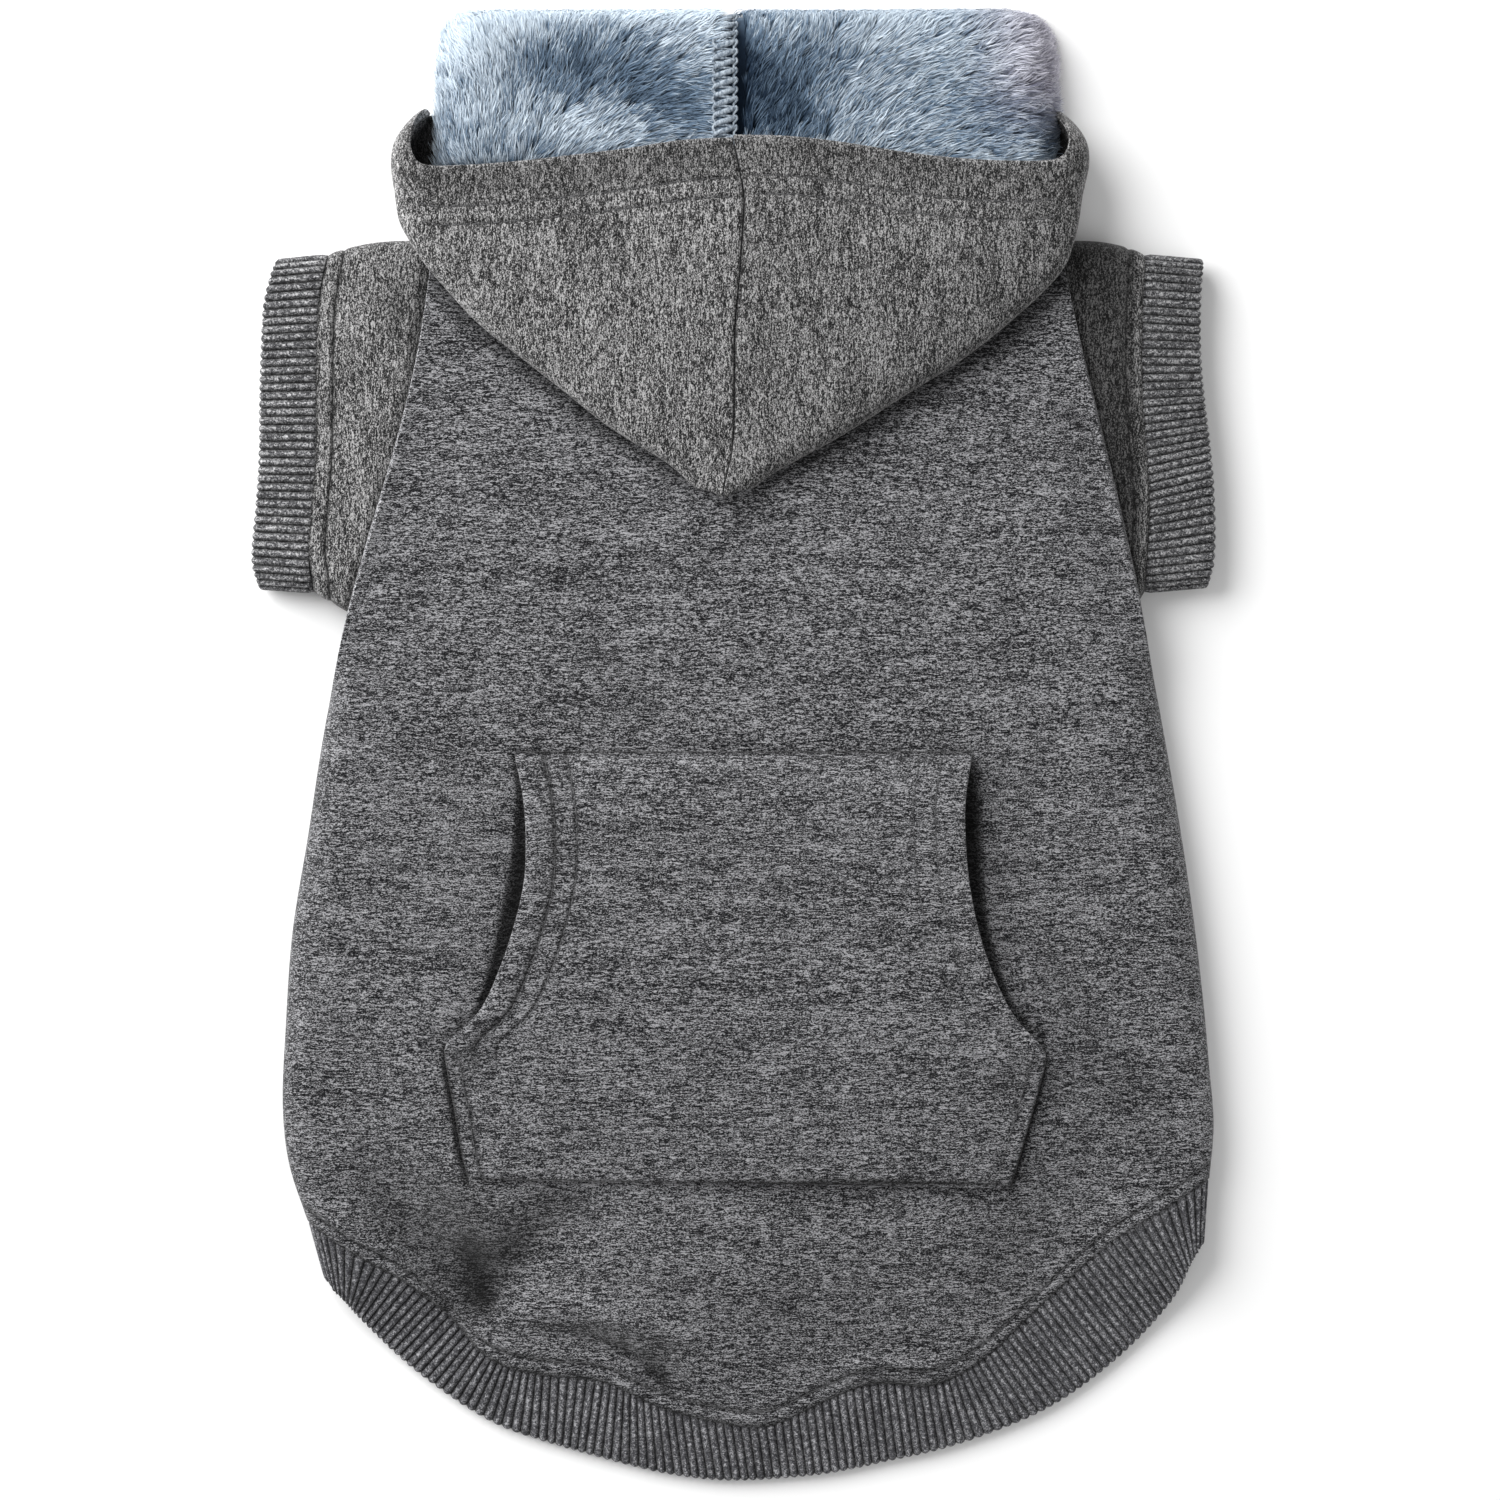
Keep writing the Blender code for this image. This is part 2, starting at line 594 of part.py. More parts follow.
def hem_band(cloth, collection):
    """The ribbed loop; each rib is two lines, and the belly's hidden stretch is plain."""
    ring = band_ring()
    middles = [[(a + b) / 2 for a, b in zip(seam, edge)] for seam, edge in ring]
    runs = [0.0]
    for here, there in zip(middles, middles[1:] + middles[:1]):
        runs.append(runs[-1] + math.dist(here, there))
    turn_up = len(CHEST_SIDE_LINES)
    belly_start = runs[len(BODY_LINES) + turn_up]
    belly_end = runs[len(ring) - 1 - turn_up]
    stretches = (
        (0.0, belly_start, RIB_PITCH / 2),
        (belly_start, belly_end, 3 * RIB_PITCH),
        (belly_end, runs[-1], RIB_PITCH / 2),
    )
    places = []
    for start, end, pitch in stretches:
        count = 2 * round((end - start) / pitch / 2)
        ribbed = pitch < RIB_PITCH
        places += [(run, ribbed) for run in steps(count, start, end)[:-1]]
    rows = [[], []]
    for index, (place, ribbed) in enumerate(places):
        seam, edge = band_smooth(ring, runs, place)
        before = band_smooth(ring, runs, place - RIB_PITCH / 2)[0]
        after = band_smooth(ring, runs, place + RIB_PITCH / 2)[0]
        along = [b - a for a, b in zip(before, after)]
        down = [b - a for a, b in zip(seam, edge)]
        length = math.hypot(*down)
        normal = (
            down[1] * along[2] - down[2] * along[1],
            down[2] * along[0] - down[0] * along[2],
            down[0] * along[1] - down[1] * along[0],
        )
        size = math.hypot(*normal)
        sunk = RIB_RELIEF if ribbed and index % 2 else 0.0
        for row, point, gap in ((rows[0], seam, GAP + FACET_ROOM), (rows[1], edge, 0.0)):
            row.append(tuple(
                p - n / size * sunk + d / length * gap for p, n, d in zip(point, normal, down)
            ))
    return sheet("hem_band", rows, RIBBING, cloth, collection, ring=True, flip=True)


def hood_point(turn, y, side):
    """The hood's outer face. turn: 0 crown seam, 1 side fold, 2 floor seam; y in metres."""
    share = y / HALF_LENGTH
    seam = read(HOOD_OUTLINE, "y", share, "seam") * HALF_WIDTH + side * GAP / 2
    edge = read(HOOD_OUTLINE, "y", share, "left" if side < 0 else "right") * HALF_WIDTH
    depth = HOOD_HOLLOW + 2 * HOOD_FLEECE
    seat = BODY_HEIGHT + GAP + FACET_ROOM
    top = seat + read(HOOD_HEIGHTS, "y", share, "top") * depth
    bottom = seat + read(HOOD_HEIGHTS, "y", share, "bottom") * depth
    reach = abs(edge - seam)
    bend = min(0.75 * (top - bottom), FOLD_REACH, 0.50 * reach)
    straight = reach - bend
    if turn <= 0.84:
        return seam + side * straight * turn / 0.84, y, top
    if turn >= 1.16:
        return seam + side * straight * (2.0 - turn) / 0.84, y, bottom
    angle = (turn - 0.84) / 0.32 * math.pi
    x = seam + side * (straight + bend * math.sin(angle))
    return x, y, (top + bottom) / 2 + (top - bottom) / 2 * math.cos(angle)


def hood_half(name, side, cloth, collection):
    column = "left_end" if side < 0 else "right_end"
    turns = [0.0, 0.14, 0.28, 0.42, 0.56, 0.70, 0.84, 0.90, 0.96, 1.04, 1.10, 1.16, 1.30, 1.50, 1.75, 2.0]
    rows = []
    for along in steps(12):
        row = []
        for turn in turns:
            start = read(HOOD_LINES, "turn", turn, "start") * HALF_LENGTH
            end = read(HOOD_LINES, "turn", turn, column) * HALF_LENGTH
            row.append(hood_point(turn, start + (end - start) * along, side))
        rows.append(row)
    return sheet(name, rows, HOOD_FLEECE, cloth, collection, flip=side < 0)


def lining_point(across, y_share, side):
    """The plush's outer face. across: 0 at the seam to 1 at the side."""
    seam = read(HOOD_OUTLINE, "y", min(y_share, 0.882), "seam") * HALF_WIDTH + side * GAP / 2
    edge = read(LINING_ROWS, "y", y_share, "left" if side < 0 else "right") * HALF_WIDTH
    rise = read(LINING_ROWS, "y", y_share, "rise") * THROAT_HEIGHT
    low = read(LINING_ROWS, "y", y_share, "side") * THROAT_HEIGHT
    reach = abs(edge - seam)
    bend = LINING_ROUND / reach
    if across <= 0.7:
        out = across / 0.7 * (1.0 - bend)
        fall = 0.0
    else:
        turn = (across - 0.7) / 0.3 * math.pi / 2
        out = 1.0 - bend * (1.0 - math.sin(turn))
        fall = 1.0 - math.cos(turn)
    x = seam + side * reach * out
    z = rise + (min(low, rise) - rise) * fall
    depth = SEAM_VALLEY_RIGHT if side > 0 else SEAM_VALLEY_LEFT
    shown = smooth(0.70, 0.80, y_share) * smooth(1.00, 0.97, y_share)
    z -= depth * shown * math.exp(-((out * reach / SEAM_VALLEY_REACH) ** 2))
    return x, y_share * HALF_LENGTH, z


def lining_half(name, side, cloth, collection):
    shares = [0.0, 0.1, 0.25, 0.4, 0.55, 0.7, 0.78, 0.86, 0.93, 1.0]
    rows = [[lining_point(across, row[0], side) for across in shares] for row in LINING_ROWS[1:]]
    return sheet(name, rows, PLUSH, cloth, collection, flip=side > 0)


def lining_seam(cloth, collection):
    """The overlocked seam's raised strip, with one ridge for each turn of thread."""
    head = HALF_LENGTH * 0.985
    ridges = round(SEAM_STRIP_LENGTH / SEAM_THREAD_PITCH)
    rows = []
    for i in range(2 * ridges + 1):
        y = head - SEAM_STRIP_LENGTH * i / (2 * ridges)
        share = y / HALF_LENGTH
        seam = read(HOOD_OUTLINE, "y", min(share, 0.882), "seam") * HALF_WIDTH
        base = lining_point(0.0, share, -1)[2]
        ridge = 0.0 if i % 2 else 0.25 * SEAM_STRIP_HEIGHT
        row = []
        for across in (-1.0, 0.0, 1.0):
            crown = (1.0 - across * across) * 0.35 * SEAM_STRIP_HEIGHT
            x = seam + across * SEAM_STRIP_WIDTH / 2
            row.append((x, y, base + GAP + SEAM_STRIP_HEIGHT + crown + ridge))
        rows.append(row)
    return sheet("lining_seam", rows, SEAM_STRIP_HEIGHT, cloth, collection, flip=True)


def pocket(cloth, collection):
    """The pocket's panel, sewn down at its top, bottom and lower sides and lifted between its openings."""
    shares = [0.0, 0.06, 0.16, 0.38, 0.62, 0.84, 0.94, 1.0]
    rows = []
    for y_share, left, right, lift in POCKET_ROWS[1:]:
        row = []
        sewn = smooth(-0.40, -0.46, y_share)
        for across in shares:
            x = (left + (right - left) * across) * HALF_WIDTH
            y = y_share * HALF_LENGTH
            near = min(across, 1.0 - across)
            side = 1.0 - sewn * (1.0 - smooth(0.0, 0.15, near))
            raised = POCKET_LIFT * lift * side
            row.append((x, y, back_height(x, y) + GAP + FACET_ROOM + raised + FLEECE))
        rows.append(row)
    return sheet("pocket", rows, FLEECE, cloth, collection, flip=True)


def main():
    for item in list(bpy.data.objects):
        bpy.data.objects.remove(item)
    collection = bpy.data.collections.new("dog_hoodie")
    bpy.context.scene.collection.children.link(collection)

    body_knit = material("body_knit", (0.100, 0.100, 0.105), 0.95)
    hood_knit = material("hood_knit", (0.115, 0.112, 0.114), 0.95)
    rib_knit = material("rib_knit", (0.090, 0.092, 0.100), 0.95)
    plush = material("plush", (0.30, 0.33, 0.40), 0.95)
    thread = material("thread", (0.42, 0.45, 0.52), 0.80)

    back_panel(body_knit, collection)
    chest_panel(body_knit, collection)
    hem_band(rib_knit, collection)
    for label, side in (("left", -1), ("right", 1)):
        sleeve("sleeve_" + label, side, body_knit, collection)
        cuff("cuff_" + label, side, rib_knit, collection)
        hood_half("hood_" + label, side, hood_knit, collection)
        lining_half("hood_lining_" + label, side, plush, collection)
    lining_seam(thread, collection)
    pocket(body_knit, collection)


main()
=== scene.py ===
# Looks of the dog hoodie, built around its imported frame. Metres, +Z up, +Y towards the head.
import math
import random

import bpy
import numpy as np
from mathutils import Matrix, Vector
from mathutils.bvhtree import BVHTree
from mathutils.kdtree import KDTree


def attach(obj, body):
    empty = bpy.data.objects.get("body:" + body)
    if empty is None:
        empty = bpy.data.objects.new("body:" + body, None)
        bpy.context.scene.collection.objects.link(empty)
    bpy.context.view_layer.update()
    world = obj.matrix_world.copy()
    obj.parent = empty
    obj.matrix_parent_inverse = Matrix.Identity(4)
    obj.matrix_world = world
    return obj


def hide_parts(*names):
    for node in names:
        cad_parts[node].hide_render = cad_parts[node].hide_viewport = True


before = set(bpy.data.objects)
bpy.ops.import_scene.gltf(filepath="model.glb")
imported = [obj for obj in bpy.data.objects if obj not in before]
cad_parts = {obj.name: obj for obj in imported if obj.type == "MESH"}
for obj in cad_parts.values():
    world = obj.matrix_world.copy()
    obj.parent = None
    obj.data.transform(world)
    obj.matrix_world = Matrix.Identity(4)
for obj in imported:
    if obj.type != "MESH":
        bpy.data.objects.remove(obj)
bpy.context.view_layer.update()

# Overall outline
GARMENT_LENGTH = 0.3827
GARMENT_WIDTH = 0.2509

# Cloth
FLEECE = 0.0022
HOOD_FLEECE = 0.0019
PLUSH = 0.0042
RIBBING = 0.0019
GAP = 0.0003
FACET_ROOM = 0.0004

# Heights of the lying garment
BODY_HEIGHT = 0.0142
SLEEVE_DROP = 0.0030
CUFF_DROP = 0.0008
EDGE_LIP = 0.0012
SIDE_ROUND = 0.0120
HOOD_HOLLOW = 0.0052
THROAT_RISE = 0.0008
POCKET_LIFT = 0.0050
TAIL_HEIGHT = 0.0034

SLEEVE_HEIGHT = BODY_HEIGHT - SLEEVE_DROP
CUFF_HEIGHT = SLEEVE_HEIGHT - CUFF_DROP
THROAT_HEIGHT = BODY_HEIGHT + THROAT_RISE

# Sewing sizes
RIB_PITCH = 0.0022
SLEEVE_TUCK = 0.0030
CHEST_INSET = 0.0040
ARMHOLE_HEIGHT = 0.0044
FOLD_REACH = 0.0070
SEAM_STRIP_WIDTH = 0.0058
SEAM_STRIP_LENGTH = 0.0350
SEAM_THREAD_PITCH = 0.0025
SEAM_VALLEY_LEFT = 0.0005
SEAM_VALLEY_RIGHT = 0.0015
SEAM_VALLEY_REACH = 0.0100
LINING_ROUND = 0.0100

# Body edges. down: share of the side seam from the neck; left, right: shares of half the garment width.
BODY_SIDES = [
    ("down", "left", "right"),
    (0.00, -0.625, 0.681),
    (0.10, -0.654, 0.721),
    (0.20, -0.699, 0.763),
    (0.30, -0.757, 0.807),
    (0.40, -0.814, 0.852),
    (0.50, -0.855, 0.890),
    (0.60, -0.886, 0.924),
    (0.70, -0.918, 0.953),
    (0.80, -0.932, 0.976),
    (0.88, -0.938, 0.990),
    (0.94, -0.925, 0.999),
    (1.00, -0.886, 0.990),
]
# Hem of the back. across: share of the hem; x and y: shares of half the garment width and length.
BACK_HEM = [
    ("across", "seam_x", "seam_y", "edge_x", "edge_y"),
    (0.000, -0.886, -0.645, -0.853, -0.723),
    (0.056, -0.788, -0.692, -0.774, -0.781),
    (0.111, -0.681, -0.729, -0.689, -0.836),
    (0.167, -0.592, -0.781, -0.595, -0.884),
    (0.222, -0.509, -0.839, -0.493, -0.924),
    (0.278, -0.393, -0.861, -0.380, -0.950),
    (0.333, -0.273, -0.869, -0.266, -0.971),
    (0.389, -0.165, -0.902, -0.150, -0.990),
    (0.444, -0.049, -0.923, -0.032, -1.000),
    (0.500, 0.072, -0.931, 0.087, -0.998),
    (0.556, 0.182, -0.899, 0.205, -0.990),
    (0.611, 0.295, -0.871, 0.322, -0.974),
    (0.667, 0.416, -0.874, 0.438, -0.957),
    (0.722, 0.522, -0.839, 0.551, -0.932),
    (0.778, 0.611, -0.785, 0.660, -0.900),
    (0.833, 0.698, -0.730, 0.758, -0.856),
    (0.889, 0.786, -0.676, 0.847, -0.804),
    (0.944, 0.889, -0.634, 0.922, -0.744),
    (1.000, 0.988, -0.588, 0.979, -0.675),
]
# Hem of the belly. across: share of the body's width; seam and edge: shares of half the garment length.
BELLY_HEM = [
    ("across", "seam_y", "edge_y"),
    (0.00, -0.645, -0.723),
    (0.15, -0.560, -0.640),
    (0.35, -0.520, -0.596),
    (0.65, -0.520, -0.596),
    (0.85, -0.545, -0.622),
    (1.00, -0.588, -0.675),
]
# Body heights. down: share of the way to the hem; crown, flank, seam: shares of the body height for the
# back's middle, its flanks and the side seam or sleeve edge; round: share of the side's rounding.
BODY_HEIGHTS = [
    ("down", "crown", "flank", "seam", "round"),
    (0.00, 1.00, 1.00, 1.00, 0.40),
    (0.41, 1.00, 1.00, 1.00, 0.40),
    (0.48, 0.99, 0.99, 0.42, 0.70),
    (0.78, 0.96, 0.95, 0.42, 0.70),
    (0.86, 0.84, 0.90, 0.42, 0.62),
    (0.93, 0.50, 0.85, 0.42, 0.54),
    (1.00, 0.24, 0.80, 0.42, 0.48),
]
# Folds and dents of the back. Ends: shares of half width and half length; reach: share of half width;
# rise: share of the body height.
BACK_FOLDS = [
    ("x0", "y0", "x1", "y1", "reach", "rise"),
    (-0.71, -0.60, -0.56, -0.75, 0.060, -0.34),
    (-0.36, -0.65, -0.53, -0.75, 0.065, -0.24),
    (-0.53, -0.60, -0.51, -0.68, 0.055, 0.12),
    (-0.64, -0.69, -0.64, -0.73, 0.040, 0.14),
    (-0.30, -0.77, -0.13, -0.82, 0.045, 0.30),
    (-0.36, -0.80, -0.17, -0.86, 0.035, -0.24),
    (-0.14, -0.82, -0.16, -0.87, 0.040, -0.40),
    (0.26, -0.84, 0.44, -0.85, 0.060, 0.14),
    (0.10, -0.80, 0.18, -0.88, 0.040, -0.10),
    (0.62, -0.66, 0.56, -0.80, 0.050, -0.12),
    (-0.25, 0.11, -0.16, 0.04, 0.040, -0.07),
    (-0.80, 0.10, -0.70, -0.10, 0.050, 0.06),
    (0.80, 0.16, 0.72, -0.12, 0.050, 0.06),
]
# Hood from above. y: share of half length; left, seam, right: shares of half width.
HOOD_OUTLINE = [
    ("y", "left", "seam", "right"),
    (0.338, -0.068, -0.022, 0.036),
    (0.359, -0.090, -0.018, 0.051),
    (0.391, -0.148, -0.005, 0.138),
    (0.427, -0.244, 0.001, 0.237),
    (0.473, -0.333, 0.002, 0.346),
    (0.523, -0.430, 0.002, 0.469),
    (0.573, -0.527, 0.004, 0.567),
    (0.622, -0.596, 0.011, 0.649),
    (0.651, -0.635, 0.015, 0.686),
    (0.677, -0.660, 0.017, 0.700),
    (0.708, -0.689, 0.020, 0.713),
    (0.745, -0.699, 0.022, 0.721),
    (0.791, -0.710, 0.009, 0.737),
    (0.821, -0.704, 0.000, 0.733),
    (0.846, -0.684, -0.001, 0.713),
    (0.867, -0.656, -0.001, 0.683),
    (0.882, -0.621, -0.001, 0.668),
]
# Hood section heights. y: share of half length; top, bottom: shares of the hood's depth above its seat.
HOOD_HEIGHTS = [
    ("y", "top", "bottom"),
    (0.338, 0.60, 0.00),
    (0.400, 0.72, 0.00),
    (0.500, 0.90, 0.00),
    (0.620, 1.00, 0.00),
    (0.677, 1.00, 0.00),
    (0.712, 1.00, 0.00),
    (0.750, 0.97, -0.60),
    (0.791, 0.95, -1.10),
    (0.821, 0.88, -1.30),
    (0.846, 0.42, -1.40),
    (0.867, -0.25, -1.45),
    (0.882, -0.85, -1.50),
]
# Where each lengthwise line of a hood half starts and ends. turn: 0 crown seam, 1 side fold, 2 floor seam;
# start, left_end, right_end: shares of half length.
HOOD_LINES = [
    ("turn", "start", "left_end", "right_end"),
    (0.00, 0.338, 0.825, 0.829),
    (0.14, 0.339, 0.821, 0.827),
    (0.28, 0.340, 0.810, 0.818),
    (0.44, 0.342, 0.800, 0.804),
    (0.58, 0.344, 0.792, 0.796),
    (0.72, 0.345, 0.787, 0.793),
    (0.84, 0.346, 0.790, 0.798),
    (0.87, 0.346, 0.815, 0.822),
    (0.90, 0.346, 0.842, 0.846),
    (0.93, 0.347, 0.860, 0.860),
    (0.96, 0.347, 0.870, 0.867),
    (1.00, 0.348, 0.874, 0.870),
    (1.05, 0.348, 0.872, 0.868),
    (1.10, 0.349, 0.850, 0.848),
    (1.16, 0.350, 0.790, 0.790),
    (1.30, 0.350, 0.715, 0.715),
    (1.55, 0.350, 0.679, 0.679),
    (1.78, 0.350, 0.679, 0.679),
    (2.00, 0.350, 0.679, 0.679),
]
# Plush lining from the rolled head end to the neck. y: share of half length; left, right: shares of half
# width; rise, side: shares of the throat height for its middle and its side edges.
LINING_ROWS = [
    ("y", "left", "right", "rise", "side"),
    (1.000, -0.520, 0.560, 0.06, 0.06),
    (0.998, -0.540, 0.582, 0.34, 0.06),
    (0.990, -0.562, 0.606, 0.62, 0.06),
    (0.974, -0.578, 0.628, 0.80, 0.06),
    (0.950, -0.586, 0.640, 0.90, 0.06),
    (0.905, -0.591, 0.646, 0.94, 0.06),
    (0.865, -0.594, 0.648, 0.97, 0.06),
    (0.830, -0.598, 0.650, 1.00, 0.06),
    (0.790, -0.600, 0.650, 0.98, 0.06),
    (0.765, -0.580, 0.640, 0.82, 0.20),
    (0.740, -0.540, 0.600, 0.62, 0.34),
    (0.712, -0.500, 0.560, 0.50, 0.34),
    (0.690, -0.490, 0.550, 0.39, 0.34),
    (0.670, -0.485, 0.545, 0.35, 0.34),
]
# Pocket on the back. y: share of half length; left, right: shares of half width; lift: share of its lift.
POCKET_ROWS = [
    ("y", "left", "right", "lift"),
    (-0.003, -0.455, 0.495, 0.00),
    (-0.030, -0.446, 0.488, 0.55),
    (-0.070, -0.434, 0.479, 0.92),
    (-0.120, -0.429, 0.479, 1.00),
    (-0.180, -0.432, 0.487, 1.00),
    (-0.240, -0.452, 0.505, 1.00),
    (-0.300, -0.482, 0.535, 0.98),
    (-0.360, -0.525, 0.582, 0.92),
    (-0.405, -0.592, 0.642, 0.80),
    (-0.444, -0.592, 0.637, 0.66),
    (-0.500, -0.577, 0.614, 0.42),
    (-0.560, -0.562, 0.588, 0.12),
    (-0.590, -0.550, 0.574, 0.00),
]
# Sleeve ends. across: share of the sleeve's width from the head side; seam, edge: shares of half the
# garment width for the cuff's two edges.
CUFF_LINES = [
    ("across", "left_seam", "left_edge", "right_seam", "right_edge"),
    (0.00, -0.853, -0.946, 0.865, 0.975),
    (0.15, -0.870, -0.973, 0.859, 0.968),
    (0.30, -0.874, -0.979, 0.857, 0.968),
    (0.45, -0.875, -0.982, 0.859, 0.976),
    (0.60, -0.876, -0.983, 0.867, 0.987),
    (0.75, -0.884, -0.990, 0.873, 0.996),
    (0.90, -0.891, -0.998, 0.868, 0.997),
    (1.00, -0.882, -0.983, 0.863, 0.983),
]
# Sleeve widths as shares of half the garment length: head side and tail side of each ring.
SLEEVE_RINGS = [
    ("out", "head", "tail", "rise"),
    (0.00, 0.690, 0.176, 1.00),
    (0.30, 0.694, 0.184, 1.00),
    (0.65, 0.690, 0.198, 0.97),
    (1.00, 0.676, 0.210, 0.92),
]
CUFF_RINGS = [
    ("out", "head", "tail", "rise"),
    (0.00, 0.675, 0.211, 1.00),
    (1.00, 0.668, 0.216, 0.96),
]

# Lines down the chest panel: shares across, with the edge's lip in the last step.
CHEST_LINES = [-1.0, -0.95, -0.87, -0.78, -0.70, -0.35, 0.0]
CHEST_LINES += [-share for share in reversed(CHEST_LINES[:-1])]

HALF_WIDTH = GARMENT_WIDTH / 2
HALF_LENGTH = GARMENT_LENGTH / 2
NECK_Y = 0.668 * HALF_LENGTH
SLEEVE_END = 0.41
SEAM_START = 0.48


def side_column(side, ending=""):
    """The name of a table's column for the left (-1) or right (+1) side."""
    return ("left" if side < 0 else "right") + ending


def smooth(edge0, edge1, value):
    """Ease from 0 to 1 as value goes from edge0 to edge1."""
    t = (value - edge0) / (edge1 - edge0)
    t = min(1.0, max(0.0, t))
    return t * t * (3.0 - 2.0 * t)


def read(table, key, at, column):
    """Read a column of a table at a value of its key, on a smooth curve through the rows."""
    names = table[0]
    rows = sorted(table[1:], key=lambda row: row[names.index(key)])
    xs = [row[names.index(key)] for row in rows]
    ys = [row[names.index(column)] for row in rows]
    if at <= xs[0]:
        return ys[0]
    if at >= xs[-1]:
        return ys[-1]
    i = max(k for k in range(len(xs)) if xs[k] <= at)
    slopes = []
    for k in (i, i + 1):
        low = max(k - 1, 0)
        high = min(k + 1, len(xs) - 1)
        slopes.append((ys[high] - ys[low]) / (xs[high] - xs[low]))
    span = xs[i + 1] - xs[i]
    t = (at - xs[i]) / span
    return (
        (2 * t**3 - 3 * t**2 + 1) * ys[i]
        + (t**3 - 2 * t**2 + t) * span * slopes[0]
        + (3 * t**2 - 2 * t**3) * ys[i + 1]
        + (t**3 - t**2) * span * slopes[1]
    )


def edge_x(table, share, side):
    """The x of a piece's edge, left (-1) or right (+1), from its table."""
    return read(table, "y", share, side_column(side)) * HALF_WIDTH


def body_share(down, column):
    """One of the body's heights, as a share, at a way down."""
    return read(BODY_HEIGHTS, "down", down, column)


def ring_size(table, out, top):
    """The head side, tail side and height of a sleeve's or cuff's ring, in metres."""
    head = read(table, "out", out, "head") * HALF_LENGTH
    tail = read(table, "out", out, "tail") * HALF_LENGTH
    return head, tail, read(table, "out", out, "rise") * top


def segment(px, py, x0, y0, x1, y1):
    """How far a place lies from a line between two points."""
    ax = x1 - x0
    ay = y1 - y0
    along = ((px - x0) * ax + (py - y0) * ay) / (ax * ax + ay * ay)
    along = min(1.0, max(0.0, along))
    return math.hypot(px - x0 - along * ax, py - y0 - along * ay)


def steps(count, start=0.0, end=1.0):
    """Even steps from start to end."""
    return [start + (end - start) * i / count for i in range(count + 1)]


def body_hem_y(x_share):
    """The back hem's y at a place across, as a share of half the garment length."""
    return read(BACK_HEM, "seam_x", x_share, "seam_y")


def side_x(down, side):
    """The body's edge, left (-1) or right (+1), as x in metres."""
    return read(BODY_SIDES, "down", down, side_column(side)) * HALF_WIDTH


def fold_rise(x, y):
    """Height that the folds add at a place where the body has its full height."""
    total = 0.0
    sx = x / HALF_WIDTH
    sy = y / HALF_LENGTH
    stretch = HALF_LENGTH / HALF_WIDTH
    for x0, y0, x1, y1, reach, rise in BACK_FOLDS[1:]:
        away = segment(sx, sy * stretch, x0, y0 * stretch, x1, y1 * stretch) / reach
        total += rise * math.exp(-away * away) * BODY_HEIGHT
    return total


def rounded_edge(part, round_share, seamed):
    """Across a panel from its middle (part 0) to its edge (part 1): the share out, the share of the
    fall to the edge, and the share of the upright lip that a seamed edge ends in."""
    flat = 0.70
    lip_start = 0.95
    if part <= flat:
        return part / flat * (1.0 - round_share), 0.0, 0.0
    open_part = (part - flat) / (1.0 - flat)
    open_out = 1.0 - round_share * (1.0 - open_part)
    turn = min(1.0, (part - flat) / (lip_start - flat)) * math.pi / 2
    out = 1.0 - round_share * (1.0 - math.sin(turn))
    fall = 1.0 - math.cos(turn)
    lip = max(0.0, (part - lip_start) / (1.0 - lip_start))
    return (
        open_out + (out - open_out) * seamed,
        open_part**2 + (fall - open_part**2) * seamed,
        lip * seamed,
    )


def crown_height(out, down):
    """The back panel's height at a share out from its middle, before the edge rounds down."""
    crown = body_share(down, "crown")
    flank = body_share(down, "flank")
    return (crown + (flank - crown) * smooth(0.66, 0.90, out)) * BODY_HEIGHT


def body_middle(down):
    return 0.5 * (side_x(down, -1) + side_x(down, 1))


def seamed_at(down):
    """0 where the body's edge is the sleeve's, 1 where it is the side seam."""
    return smooth(SLEEVE_END, SEAM_START, down)


def back_point(across, down):
    """The back panel's outer face. across: -1 left edge to 1 right edge; down: 0 neck to 1 hem."""
    side = -1 if across < 0 else 1
    middle = body_middle(down)
    reach = side_x(down, side) - middle
    seamed = seamed_at(down)
    round_share = body_share(down, "round") * SIDE_ROUND / abs(reach)
    out, fall, lip = rounded_edge(abs(across), round_share, seamed)
    crown = crown_height(out, down)
    low = body_share(down, "seam") * BODY_HEIGHT + EDGE_LIP * seamed
    hem_x = body_middle(1.0) + (side_x(1.0, side) - body_middle(1.0)) * out
    hem_y = body_hem_y(hem_x / HALF_WIDTH) * HALF_LENGTH
    x = middle + reach * out
    y = NECK_Y + (hem_y - NECK_Y) * down
    z = crown + (low - crown) * fall - EDGE_LIP * lip
    return x, y, z + fold_rise(x, y) * crown / BODY_HEIGHT * (1.0 - fall)


def back_height(x, y):
    """The back panel's outer height under a place away from its edges."""
    hem_y = body_hem_y(x / HALF_WIDTH) * HALF_LENGTH
    down = (y - NECK_Y) / (hem_y - NECK_Y)
    down = min(1.0, max(0.0, down))
    middle = body_middle(down)
    out = (x - middle) / (side_x(down, -1 if x < middle else 1) - middle)
    crown = crown_height(out, down)
    return crown + fold_rise(x, y) * crown / BODY_HEIGHT


